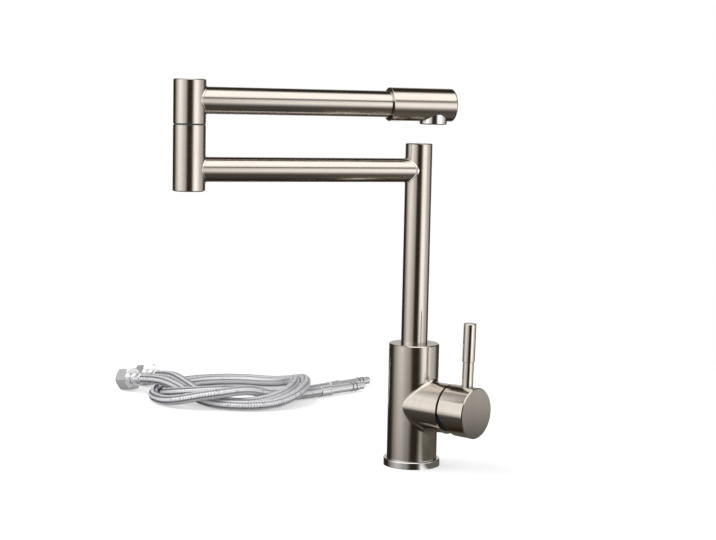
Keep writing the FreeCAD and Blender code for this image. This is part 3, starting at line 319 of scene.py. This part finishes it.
@dataclass(frozen=True)
class PolishedMetal:
    """Bright plated or turned metal."""

    name: str
    light: tuple = (0.83, 0.83, 0.83)
    dark: tuple = (0.72, 0.72, 0.73)
    smooth: float = 0.05
    rough: float = 0.14
    metal: float = 1.0
    mark_size: float = 0.012

    def material(self) -> bpy.types.Material:
        """Build the material.

        Returns:
            The finished material.
        """
        known = bpy.data.materials.get(self.name)
        if known:
            return known
        material, nodes, shader = new_material(self.name)
        where = nodes.add("ShaderNodeTexCoord").outputs["Object"]
        marks = grouped(nodes, handling_marks(), Vector=where, Size=self.mark_size)
        colour = nodes.blend(marks.outputs["Mark"], self.light, self.dark)
        nodes.join(colour, shader.inputs["Base Color"])
        shader.inputs["Metallic"].default_value = self.metal
        spread = nodes.math("MULTIPLY", marks.outputs["Mark"], self.rough - self.smooth)
        nodes.join(nodes.math("ADD", spread, self.smooth), shader.inputs["Roughness"])
        return material


@dataclass(frozen=True)
class Moulded:
    """Moulded rubber, plastic or ceramic with a fine surface texture."""

    name: str
    colour: tuple
    pale: tuple
    roughness: float = 0.5
    texture: float = 0.0006
    mark_scale: float = 8.0
    mark_share: float = 0.5
    mark_spread: float = 0.12
    relief_strength: float = 0.25
    relief_share: float = 6.0

    def material(self) -> bpy.types.Material:
        """Build the material.

        Returns:
            The finished material.
        """
        known = bpy.data.materials.get(self.name)
        if known:
            return known
        material, nodes, shader = new_material(self.name)
        where = nodes.add("ShaderNodeTexCoord").outputs["Object"]
        marks = grouped(nodes, handling_marks(), Vector=where, Size=self.texture * self.mark_scale)
        share = nodes.math("MULTIPLY", marks.outputs["Mark"], self.mark_share)
        nodes.join(nodes.blend(share, self.colour, self.pale), shader.inputs["Base Color"])
        spread = nodes.math("MULTIPLY", marks.outputs["Mark"], self.mark_spread)
        nodes.join(nodes.math("ADD", spread, self.roughness), shader.inputs["Roughness"])
        noise = nodes.add("ShaderNodeTexNoise")
        noise.inputs["Scale"].default_value = 1.0 / self.texture
        nodes.join(where, noise.inputs["Vector"])
        nodes.relief(noise.outputs[0], self.relief_strength, self.texture / self.relief_share,
                     shader)
        return material


@dataclass(frozen=True)
class WovenWire:
    """Stainless strands of parallel wires, drawn across each strand's own width, with painted
    shade in the grooves between the wires and where a strand passes under another.
    """

    name: str = "woven_wire"
    # light is the wires' crest colour, dark the painted shade in the grooves between them
    light: tuple = (0.95, 0.955, 0.98)
    dark: tuple = (0.58, 0.59, 0.64)
    # painted shade where a strand passes under another
    painted_under_shade: tuple = (0.05, 0.05, 0.075)
    wires: float = 5.0
    wire_sharpness: float = 0.6
    metal: float = 0.55
    smooth: float = 0.26
    mark_size: float = 0.01
    mark_spread: float = 0.1
    relief: float = 0.00012
    relief_strength: float = 0.6
    # how much of the strand colour shows against the painted under shade, by the over value
    unshaded_share: tuple = ((0.0, 0.0), (0.35, 0.1), (0.7, 1.0), (1.0, 1.0))

    def material(self) -> bpy.types.Material:
        """Build the material.

        Returns:
            The finished material.
        """
        known = bpy.data.materials.get(self.name)
        if known:
            return known
        material, nodes, shader = new_material(self.name)
        layer = nodes.add("ShaderNodeUVMap", uv_map="strand")
        parts = nodes.add("ShaderNodeSeparateXYZ")
        nodes.join(layer.outputs[0], parts.inputs[0])
        # painted shade: each wire darkens from its crest towards the grooves beside it
        turns = nodes.math("MULTIPLY", parts.outputs["Y"], self.wires * math.pi)
        wire = nodes.math("ABSOLUTE", nodes.math("SINE", turns))
        strand = nodes.blend(nodes.math("POWER", wire, self.wire_sharpness), self.dark, self.light)
        # painted shade: the under parts of each strand go near black
        over = nodes.add("ShaderNodeAttribute", attribute_name="over").outputs["Fac"]
        colour = nodes.blend(nodes.profile(over, self.unshaded_share), self.painted_under_shade, strand)
        nodes.join(colour, shader.inputs["Base Color"])
        shader.inputs["Metallic"].default_value = self.metal
        where = nodes.add("ShaderNodeTexCoord").outputs["Object"]
        marks = grouped(nodes, handling_marks(), Vector=where, Size=self.mark_size)
        spread = nodes.math("MULTIPLY", marks.outputs["Mark"], self.mark_spread)
        nodes.join(nodes.math("ADD", spread, self.smooth), shader.inputs["Roughness"])
        nodes.relief(wire, self.relief_strength, self.relief, shader)
        return material


NICKEL = BrushedMetal("brushed_nickel")
SATIN = PolishedMetal("satin_nickel", (0.76, 0.715, 0.675), (0.68, 0.635, 0.595), 0.05, 0.1)
CHROME = PolishedMetal("polished_chrome", (0.90, 0.88, 0.86), (0.82, 0.80, 0.78))
PLATE = PolishedMetal("bright_plate", (0.95, 0.955, 0.97), (0.86, 0.87, 0.89), 0.1, 0.2, 0.7)
BEAD = PolishedMetal("smoothed_weld", (0.93, 0.90, 0.87), (0.86, 0.83, 0.79), 0.2, 0.3)
BRASS = PolishedMetal("turned_brass", (0.80, 0.62, 0.30), (0.66, 0.48, 0.22), 0.16, 0.3)
STEEL = PolishedMetal("plain_steel", (0.60, 0.60, 0.60), (0.45, 0.45, 0.46), 0.2, 0.36)
RUBBER = Moulded("black_rubber", (0.012, 0.012, 0.013), (0.03, 0.03, 0.032), 0.45)
DARK_PLASTIC = Moulded("dark_plastic", (0.02, 0.02, 0.022), (0.045, 0.045, 0.05), 0.38)
GREY_PLASTIC = Moulded("grey_plastic", (0.52, 0.53, 0.54), (0.62, 0.63, 0.64), 0.42)
BLACK = Moulded("matt_black", (0.006, 0.006, 0.006), (0.012, 0.012, 0.012), 0.6)
CERAMIC = Moulded("white_ceramic", (0.86, 0.85, 0.81), (0.9, 0.89, 0.86), 0.18, 0.0003)
WOVEN = WovenWire()


def dress(nodes: str, material: bpy.types.Material) -> None:
    """Give CAD nodes a material.

    Args:
        nodes: The nodes' names with spaces between them.
        material: The material that they get.
    """
    for name in nodes.split():
        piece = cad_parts[name]
        for slot in piece.material_slots:
            slot.material = material
        LOG.info("dressed %s in %s", name, material.name)


# ---------------------------------------------------------------- the tap


@dataclass
class TapBody:
    """Base, body with the lever's boss, and what is inside it."""

    shell: str = "body"
    flange: str = "base_flange"
    brass: str = "inlet_block cartridge_nut"
    steel: str = "riser_set_screw pivot_pin"
    seals: str = "base_seal port_seals"
    dome: str = "cartridge_dome"
    dark_plastic: str = "thrust_washer disc_carrier"
    grey_plastic: str = "cartridge_base cartridge_housing rotor"
    discs: str = "fixed_disc moving_disc"

    def build(self) -> None:
        """Dress the body's pieces."""
        dress(self.shell, NICKEL.material(Lay.UPRIGHT))
        dress(self.flange, CHROME.material())
        dress(self.brass, BRASS.material())
        dress(self.steel, STEEL.material())
        dress(self.seals, RUBBER.material())
        dress(self.dome, BLACK.material())
        dress(self.dark_plastic, DARK_PLASTIC.material())
        dress(self.grey_plastic, GREY_PLASTIC.material())
        dress(self.discs, CERAMIC.material())


@dataclass
class LeverHandle:
    """Cap and lever."""

    cap: str = "handle_cap"
    rod: str = "lever_rod"
    stem: str = "lever_stem"
    screw: str = "handle_screw"

    def build(self) -> None:
        """Dress the lever's pieces."""
        dress(self.cap, NICKEL.material(Lay.UPRIGHT))
        dress(self.rod, SATIN.material())
        dress(self.stem, BRASS.material())
        dress(self.screw, STEEL.material())


@dataclass
class RiserArm:
    """Riser tube, lower arm and the lower half of the elbow."""

    posts: str = "riser_tube riser_cap lower_post_tube lower_post_cap"
    arm: str = "lower_arm_tube"
    welds: str = "lower_arm_welds"
    brass: str = "riser_nipple swivel_bush"
    seals: str = "nipple_orings"
    plastic: str = "slip_ring swivel_washer"

    def build(self) -> None:
        """Dress the riser's and lower arm's pieces."""
        dress(self.posts, NICKEL.material(Lay.UPRIGHT))
        dress(self.arm, NICKEL.material(Lay.ALONG_LOWER_ARM))
        dress(self.welds, BEAD.material())
        dress(self.brass, BRASS.material())
        dress(self.seals, RUBBER.material())
        dress(self.plastic, DARK_PLASTIC.material())


@dataclass
class UpperSpout:
    """Upper half of the elbow, upper arm and spout."""

    posts: str = "upper_post_tube upper_post_cap"
    arm: str = "upper_arm_tube spout_sleeve"
    weld: str = "upper_arm_weld"
    collar: str = "aerator_collar"
    brass: str = "spindle spindle_holder"
    seals: str = "spindle_orings aerator_seal"
    clip: str = "spindle_circlip"
    insert: str = "aerator_insert"

    def build(self) -> None:
        """Dress the upper arm's and spout's pieces."""
        dress(self.posts, NICKEL.material(Lay.UPRIGHT))
        dress(self.arm, NICKEL.material(Lay.ALONG_UPPER_ARM))
        dress(self.weld, BEAD.material())
        dress(self.collar, CHROME.material())
        dress(self.brass, BRASS.material())
        dress(self.seals, RUBBER.material())
        dress(self.clip, STEEL.material())
        dress(self.insert, GREY_PLASTIC.material())


# ---------------------------------------------------------------- hoses


@dataclass
class Line:
    """A hose's centreline with a turning frame at even steps."""

    places: list
    across: list
    beside: list
    step: float

    def at(self, distance: float, angle: float, radius: float) -> Vector:
        """Find a point round the line.

        Args:
            distance: How far along the line.
            angle: The angle round it.
            radius: The distance from it.

        Returns:
            The point.
        """
        place = min(max(distance / self.step, 0.0), len(self.places) - 1.001)
        k = int(place)
        share = place - k
        centre = self.places[k].lerp(self.places[k + 1], share)
        one = self.across[k].lerp(self.across[k + 1], share)
        two = self.beside[k].lerp(self.beside[k + 1], share)
        return centre + (one * math.cos(angle) + two * math.sin(angle)) * radius


@dataclass
class SupplyHose:
    """One braided supply hose with its nut, ferrules and spigot."""

    side: str
    route: tuple
    length: float
    diameter: float = 0.0115
    core_radius: float = 0.0050
    weave_radius: float = 0.00545
    weave_depth: float = 0.0003
    strands: int = 12
    strand_width: float = 0.0025
    edge_drop: float = 0.7
    pitch: float = 0.036
    step: float = 0.0015
    body: str = "tap_body"
    plated: tuple = ("nut_ferrule", "nut_tail", "nut", "spigot_ferrule", "spigot")
    rubber: tuple = ("nut_washer", "spigot_orings")

    def curve(self, name: str, bevel: float) -> bpy.types.Object:
        """Make the hose's smooth line.

        Args:
            name: The object's name.
            bevel: The radius of its surface.

        Returns:
            The curve object.
        """
        data = bpy.data.curves.new(name, "CURVE")
        data.dimensions = "3D"
        data.resolution_u = 8
        data.bevel_depth = bevel
        data.bevel_resolution = 4
        data.use_fill_caps = True
        spline = data.splines.new("NURBS")
        spline.points.add(len(self.route) - 1)
        for point, place in zip(spline.points, self.route):
            point.co = (place[0] * MM, place[1] * MM, place[2] * MM, 1.0)
        spline.order_u = 3
        spline.use_endpoint_u = True
        piece = bpy.data.objects.new(name, data)
        bpy.context.scene.collection.objects.link(piece)
        return piece

    def line(self) -> Line:
        """Read the smooth line at even steps.

        Returns:
            The centreline with its frames.
        """
        bare = self.curve("bare_line", 0.0)
        mesh = bpy.data.meshes.new_from_object(bare)
        points = [vertex.co.copy() for vertex in mesh.vertices]
        bpy.data.objects.remove(bare)
        bpy.data.meshes.remove(mesh)
        places, carry = [points[0]], 0.0
        for first, second in zip(points, points[1:]):
            run = (second - first).length
            while carry + self.step <= run:
                carry += self.step
                places.append(first.lerp(second, carry / run))
            carry -= run
        across, beside = [], []
        side = Vector((0.0, 0.0, 1.0))
        for k, place in enumerate(places):
            ahead = (places[min(k + 1, len(places) - 1)] - places[max(k - 1, 0)]).normalized()
            side = (side - ahead * side.dot(ahead)).normalized()
            across.append(side.copy())
            beside.append(ahead.cross(side))
        return Line(places, across, beside, self.step)

    def weave(self, line: Line) -> bpy.types.Object:
        """Wrap the strands over and under each other round the hose.

        Args:
            line: The hose's centreline.

        Returns:
            The woven sleeve.
        """
        long = (len(line.places) - 1) * line.step
        crossing = self.pitch / (2 * self.strands)
        steps = int(long / crossing * 2)
        half_angle = self.strand_width / 2 / self.weave_radius
        mesh = bmesh.new()
        mesh.loops.layers.uv.new("strand")
        height = mesh.verts.layers.float.new("over")
        for way in (1, -1):
            for strand in range(self.strands):
                grid = bmesh.ops.create_grid(mesh, x_segments=steps, y_segments=2, size=1.0,
                                             calc_uvs=True)
                start = 2 * math.pi * (strand + (0.5 if way < 0 else 0.0)) / self.strands
                for vertex in grid["verts"]:
                    distance = (vertex.co.x + 1) / 2 * long
                    spread = vertex.co.y
                    phase = distance / crossing * math.pi / 2 + strand * math.pi * way
                    over = math.sin(phase) * way
                    # the over value also drives the painted shade on the under parts in the woven
                    # material
                    vertex[height] = (over + 1) / 2
                    radius = (self.weave_radius + over * self.weave_depth
                              - abs(spread) * self.weave_depth * self.edge_drop)
                    angle = start + way * 2 * math.pi * distance / self.pitch
                    vertex.co = line.at(distance, angle + spread * half_angle, radius)
        bmesh.ops.recalc_face_normals(mesh, faces=mesh.faces)
        for face in mesh.faces:
            face.smooth = True
        data = bpy.data.meshes.new(f"{self.side}_braid")
        mesh.to_mesh(data)
        mesh.free()
        piece = bpy.data.objects.new(f"{self.side}_braid", data)
        bpy.context.scene.collection.objects.link(piece)
        return piece

    def build(self) -> None:
        core = self.curve(f"{self.side}_hose_core", self.core_radius)
        core.data.materials.append(DARK_PLASTIC.material())
        braid = self.weave(self.line())
        braid.data.materials.append(WOVEN.material())
        for piece in (core, braid):
            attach(piece, self.body)
        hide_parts(f"{self.side}_hose")
        for parts, finish in ((self.plated, PLATE), (self.rubber, RUBBER)):
            for part in parts:
                dress(f"{self.side}_{part}", finish.material())


COLD_ROUTE = (
    (-441, 67, 16.6), (-419, 65.5, 19.4), (-395, 64, 19.4), (-369, 62.5, 14),
    (-345.5, 60.5, 8), (-321, 58, 6), (-297.5, 64, 6), (-278, 78.5, 6.2),
    (-265, 99, 7.4), (-260.5, 122.5, 12), (-265, 145, 17), (-277, 166, 19.2),
    (-300.5, 191.5, 19.4), (-321.5, 203.5, 15.4), (-345, 209.5, 9.6), (-369, 209, 6),
    (-394, 201, 6), (-415.5, 185.5, 6), (-431, 164.5, 6), (-439.5, 139.5, 6),
    (-439.5, 113, 6), (-431, 86.5, 6), (-419, 66.5, 6), (-403.5, 47.5, 6),
    (-382.5, 35, 6), (-360.5, 30.5, 7), (-338.5, 34, 11.6), (-320.5, 44, 16.4),
    (-305.5, 58.5, 19.2), (-293.5, 86.5, 21.2), (-290.5, 110, 14.4), (-287, 133.5, 7),
    (-284, 159.5, 6.4), (-280, 193, 6.4),
)
HOT_ROUTE = (
    (-447, 97, 16.6), (-431, 93.5, 18.8), (-412, 89.5, 20.6), (-388, 84.5, 16),
    (-364.5, 79.5, 11), (-340.5, 72, 6.6), (-318, 72, 6), (-295, 82, 6.2),
    (-279.5, 100.5, 9.2), (-273.5, 124, 14.2), (-279.5, 147.5, 19.2), (-300.5, 174, 21.4),
    (-320.5, 188.5, 15), (-343.5, 196.5, 9.4), (-367.5, 196, 6.2), (-390.5, 188, 6.2),
    (-409.5, 172.5, 6), (-422.5, 152, 6), (-427.5, 128, 6), (-424, 102, 6),
    (-412.5, 79.5, 6), (-399, 61, 6), (-377.5, 47, 11.4), (-352, 44.5, 16),
    (-325.5, 56, 19.4), (-308.5, 80.5, 20), (-304, 103.5, 16.8), (-301, 128, 9.6),
    (-298.5, 151.5, 6), (-297, 175.5, 6), (-295, 199.5, 6.4), (-293.5, 225, 6.4),
)


# ---------------------------------------------------------------- studio


@dataclass(frozen=True)
class Surround:
    """What the metal mirrors: side panels, a soft box overhead and dark gaps.

    Each profile pairs a place with a level. A bearing is in degrees from the camera's own side
    of the tap, positive to its right. A height is in degrees above the horizon. The box's reach
    towards the camera and to the right is in hundredths of the mirrored direction.
    """

    gap_colour: tuple = (0.026, 0.018, 0.009)
    panel_colour: tuple = (1.62, 1.59, 1.545)
    around: tuple = (
        (-180, 0.8), (-164, 0.7), (-156, 0.02), (-118, 0.0), (-108, 0.10), (-98, 0.34),
        (-85, 0.60), (-68, 0.90), (-56, 0.90), (-45, 0.74), (-33, 0.56), (-21, 0.46),
        (-14, 0.22), (-7, 0.01), (19, 0.0), (28, 0.10), (34, 0.50), (43, 0.92), (62, 0.96),
        (74, 0.68), (85, 0.47), (98, 0.39), (106, 0.36), (114, 0.25), (124, 0.03),
        (156, 0.03), (164, 0.7), (180, 0.8))
    left_heights: tuple = (
        (-90, 0.04), (-15.5, 0.05), (-13, 0.42), (-9, 0.62), (-5, 0.82), (1, 1.0), (90, 1.0))
    right_heights: tuple = (
        (-90, 0.04), (-40, 0.04), (-33, 0.10), (-27, 0.22), (-21, 0.48), (-13, 0.86),
        (-6, 1.02), (6, 1.0), (13, 0.62), (18, 0.30), (21, 0.06), (29, 0.06), (34, 0.60),
        (44, 1.0), (90, 1.0))
    far_heights: tuple = (
        (-90, 0.04), (-36, 0.04), (-28, 1.0), (-4, 1.0), (3, 0.45), (90, 0.45))
    right_share: tuple = ((-180, 0.0), (2, 0.0), (15, 1.0), (180, 1.0))
    far_share: tuple = (
        (-180, 1.0), (-160, 1.0), (-150, 0.0), (150, 0.0), (160, 1.0), (180, 1.0))
    box_right: tuple = (
        (-100, 0.0), (-30, 0.0), (-21, 0.08), (-10, 0.56), (2, 1.1), (100, 1.0))
    box_left: tuple = (
        (-100, 0.0), (-66, 0.0), (-50, 0.12), (-34, 0.24), (-16, 0.40), (2, 0.66),
        (20, 0.90), (100, 0.95))
    box_share: tuple = ((-100, 0.0), (-30, 0.0), (10, 1.0), (100, 1.0))
    box_heights: tuple = ((-90, 0.0), (24, 0.0), (34, 1.0), (90, 1.0))

    def colour(self, nodes: NodeTree, heading: float) -> bpy.types.NodeSocket:
        """Lay the panels, the box and the gaps out round the tap.

        Args:
            nodes: The world's tree helper.
            heading: The camera's compass direction in degrees.

        Returns:
            The colour socket of the mirrored surround.
        """
        way = nodes.add("ShaderNodeTexCoord").outputs["Generated"]
        turned = nodes.add("ShaderNodeVectorRotate", rotation_type="Z_AXIS")
        turned.inputs["Angle"].default_value = math.radians(180.0 - heading)
        nodes.join(way, turned.inputs["Vector"])
        parts = nodes.add("ShaderNodeSeparateXYZ")
        nodes.join(turned.outputs[0], parts.inputs[0])
        near, right, up = parts.outputs
        bearing = nodes.math("MULTIPLY", nodes.math("ARCTAN2", right, near), DEGREES)
        height = nodes.math("MULTIPLY", nodes.math("ARCSINE", up), DEGREES)
        front = nodes.blend(nodes.profile(bearing, self.right_share),
                            nodes.profile(height, self.left_heights),
                            nodes.profile(height, self.right_heights))
        heights = nodes.blend(nodes.profile(bearing, self.far_share), front,
                              nodes.profile(height, self.far_heights))
        sides = nodes.math("MULTIPLY", nodes.profile(bearing, self.around), heights)
        near = nodes.math("MULTIPLY", near, 100.0)
        right = nodes.math("MULTIPLY", right, 100.0)
        box = nodes.blend(nodes.profile(right, self.box_share),
                          nodes.profile(near, self.box_left),
                          nodes.profile(near, self.box_right))
        level = nodes.blend(nodes.profile(height, self.box_heights), sides, box)
        return nodes.blend(level, self.gap_colour, self.panel_colour)


@dataclass(frozen=True)
class Deck:
    """White floor with a pale shadow, and a dark patch that only glossy rays see: a painted
    reflection that darkens the metal's lower side.

    The fade's reach is counted from between the tap and the hoses, the painted reflection's
    reach and bearing from the tap's axis. Reaches are in metres and bearings in degrees.
    """

    size: float = 12.0
    drop: float = 0.0002
    paint: tuple = (0.93, 0.93, 0.93, 1.0)
    white: tuple = (1.0, 1.0, 1.0, 1.0)
    fade_centre: tuple = (-0.18, 0.05, 0.0)
    fade: tuple = ((0.0, 0.45), (0.3, 0.55), (0.7, 1.0), (10.0, 1.0))
    # painted reflection: the dark colour that only glossy rays see on the floor
    painted_reflection_colour: tuple = (0.135, 0.125, 0.105, 1.0)
    painted_reflection_bearings: tuple = (
        (-180, 0.0), (-28, 0.0), (-8, 1.0), (62, 1.0), (84, 0.0), (180, 0.0))
    painted_reflection_reach: tuple = ((0.0, 1.0), (0.22, 1.0), (0.42, 0.0), (10.0, 0.0))

    def mixed(self, nodes: NodeTree, share: bpy.types.NodeSocket, first: bpy.types.Node,
              second: bpy.types.Node) -> bpy.types.Node:
        """Mix two shaders.

        Args:
            nodes: The material's tree helper.
            share: How much of the second one shows.
            first: The first shader.
            second: The second shader.

        Returns:
            The mixing node.
        """
        mix = nodes.add("ShaderNodeMixShader")
        nodes.join(share, mix.inputs[0])
        nodes.join(first.outputs[0], mix.inputs[1])
        nodes.join(second.outputs[0], mix.inputs[2])
        return mix

    def painted_reflection_mask(self, nodes: NodeTree, where: bpy.types.NodeSocket) -> bpy.types.NodeSocket:
        """Mark the painted dark reflection's patch out.

        Args:
            nodes: The material's tree helper.
            where: The place on the floor.

        Returns:
            The socket that is 1 on the painted dark reflection and 0 off it.
        """
        parts = nodes.add("ShaderNodeSeparateXYZ")
        nodes.join(where, parts.inputs[0])
        turn = nodes.math("ARCTAN2", parts.outputs["Y"], parts.outputs["X"])
        reach = nodes.add("ShaderNodeVectorMath", operation="LENGTH")
        nodes.join(where, reach.inputs[0])
        return nodes.math(
            "MULTIPLY",
            nodes.profile(nodes.math("MULTIPLY", turn, DEGREES), self.painted_reflection_bearings),
            nodes.profile(reach.outputs["Value"], self.painted_reflection_reach))

    def material(self) -> bpy.types.Material:
        """Build the floor's material.

        Returns:
            The finished material.
        """
        material = bpy.data.materials.new("pale_floor")
        material.use_nodes = True
        material.node_tree.nodes.clear()
        nodes = NodeTree(material.node_tree)
        rays = nodes.add("ShaderNodeLightPath")
        where = nodes.add("ShaderNodeTexCoord").outputs["Object"]
        plain = nodes.add("ShaderNodeBsdfDiffuse")
        plain.inputs["Color"].default_value = self.paint
        glow = nodes.add("ShaderNodeEmission")
        glow.inputs["Color"].default_value = self.white
        # painted reflection: a dark glow that only glossy rays see, darkening the metal's lower
        # side
        dark = nodes.add("ShaderNodeEmission")
        dark.inputs["Color"].default_value = self.painted_reflection_colour
        clear = nodes.add("ShaderNodeBsdfTransparent")
        reach = nodes.add("ShaderNodeVectorMath", operation="DISTANCE")
        nodes.join(where, reach.inputs[0])
        reach.inputs[1].default_value = self.fade_centre
        fade = nodes.profile(reach.outputs["Value"], self.fade)
        white = nodes.math("MULTIPLY", rays.outputs["Is Camera Ray"], fade)
        seen = self.mixed(nodes, white, plain, glow)
        # glossy rays see the painted dark reflection on the patch and the world through the rest
        mirrored = self.mixed(nodes, self.painted_reflection_mask(nodes, where), clear, dark)
        either = self.mixed(nodes, rays.outputs["Is Glossy Ray"], seen, mirrored)
        out = nodes.add("ShaderNodeOutputMaterial")
        nodes.join(either.outputs[0], out.inputs["Surface"])
        return material

    def build(self) -> None:
        """Lay the floor."""
        mesh = bmesh.new()
        bmesh.ops.create_grid(mesh, x_segments=1, y_segments=1, size=self.size)
        bmesh.ops.translate(mesh, verts=mesh.verts, vec=(0.0, 0.0, -self.drop))
        data = bpy.data.meshes.new("floor")
        mesh.to_mesh(data)
        mesh.free()
        floor = bpy.data.objects.new("floor", data)
        bpy.context.scene.collection.objects.link(floor)
        floor.data.materials.append(self.material())


@dataclass(frozen=True)
class SoftLamp:
    """One soft square lamp."""

    name: str
    place: tuple
    watts: float
    size: float
    aim: tuple = (-0.1, 0.0, 0.15)

    def build(self) -> None:
        """Hang the lamp and turn it to the tap."""
        data = bpy.data.lights.new(self.name, "AREA")
        data.energy = self.watts
        data.size = self.size
        lamp = bpy.data.objects.new(self.name, data)
        lamp.location = self.place
        way = Vector(self.aim) - Vector(self.place)
        lamp.rotation_euler = way.to_track_quat("-Z", "Y").to_euler()
        lamp.visible_glossy = False
        bpy.context.scene.collection.objects.link(lamp)


@dataclass
class Studio:
    """Pale floor, soft light with dark gaps for the metal, and the camera."""

    camera_place: tuple = (0.87897, -1.16736, 0.33784)
    heading: float = 129.1
    pitch: float = -6.053
    roll: float = 1.194
    focal: float = 1573.068
    picture_width: float = 716.0
    sensor_width: float = 36.0
    clip_end: float = 50.0
    soft_light: float = 0.85
    surround: Surround = Surround()
    deck: Deck = Deck()
    lamps: tuple = (SoftLamp("key", (-0.9, -1.1, 1.9), 34.0, 1.6),
                    SoftLamp("fill", (1.6, 0.2, 1.6), 18.0, 1.4))

    def camera(self) -> None:
        """Set the camera up where the photograph was taken from."""
        heading, pitch = math.radians(self.heading), math.radians(self.pitch)
        ahead = Vector((math.cos(heading) * math.cos(pitch), math.sin(heading) * math.cos(pitch),
                        math.sin(pitch)))
        right = ahead.cross(Vector((0, 0, 1))).normalized()
        up = right.cross(ahead)
        roll = math.radians(self.roll)
        right, up = (right * math.cos(roll) + up * math.sin(roll),
                     up * math.cos(roll) - right * math.sin(roll))
        turn = Matrix((right, up, -ahead)).transposed().to_4x4()
        data = bpy.data.cameras.new("camera")
        data.sensor_width = self.sensor_width
        data.lens = self.focal / self.picture_width * self.sensor_width
        data.clip_end = self.clip_end
        camera = bpy.data.objects.new("camera", data)
        camera.matrix_world = Matrix.Translation(self.camera_place) @ turn
        bpy.context.scene.collection.objects.link(camera)
        bpy.context.scene.camera = camera

    def world(self) -> None:
        """White surround, with soft boxes and dark gaps that only the metal shows."""
        world = bpy.data.worlds.new("studio")
        bpy.context.scene.world = world
        world.use_nodes = True
        world.node_tree.nodes.clear()
        nodes = NodeTree(world.node_tree)
        rays = nodes.add("ShaderNodeLightPath")
        mirror = nodes.math("MAXIMUM", rays.outputs["Is Glossy Ray"],
                            rays.outputs["Is Transmission Ray"])
        soft = nodes.blend(mirror, self.soft_light, self.surround.colour(nodes, self.heading))
        seen = nodes.blend(rays.outputs["Is Camera Ray"], soft, 1.0)
        shade = nodes.add("ShaderNodeBackground")
        nodes.join(seen, shade.inputs["Color"])
        out = nodes.add("ShaderNodeOutputWorld")
        nodes.join(shade.outputs[0], out.inputs["Surface"])

    def build(self) -> None:
        """Set the whole studio up."""
        bpy.context.scene.view_settings.view_transform = "Standard"
        self.camera()
        self.world()
        for part in (self.deck, *self.lamps):
            part.build()


def main() -> None:
    """Build the studio, the hoses and the tap in order."""
    logging.basicConfig(level=logging.INFO, format="%(name)s: %(message)s")
    parts = (Studio(), SupplyHose("cold", COLD_ROUTE, 0.829), SupplyHose("hot", HOT_ROUTE, 0.764),
             TapBody(), LeverHandle(), RiserArm(), UpperSpout())
    for part in parts:
        part.build()
        LOG.info("built %s", type(part).__name__)


if __name__ == "__main__":
    main()
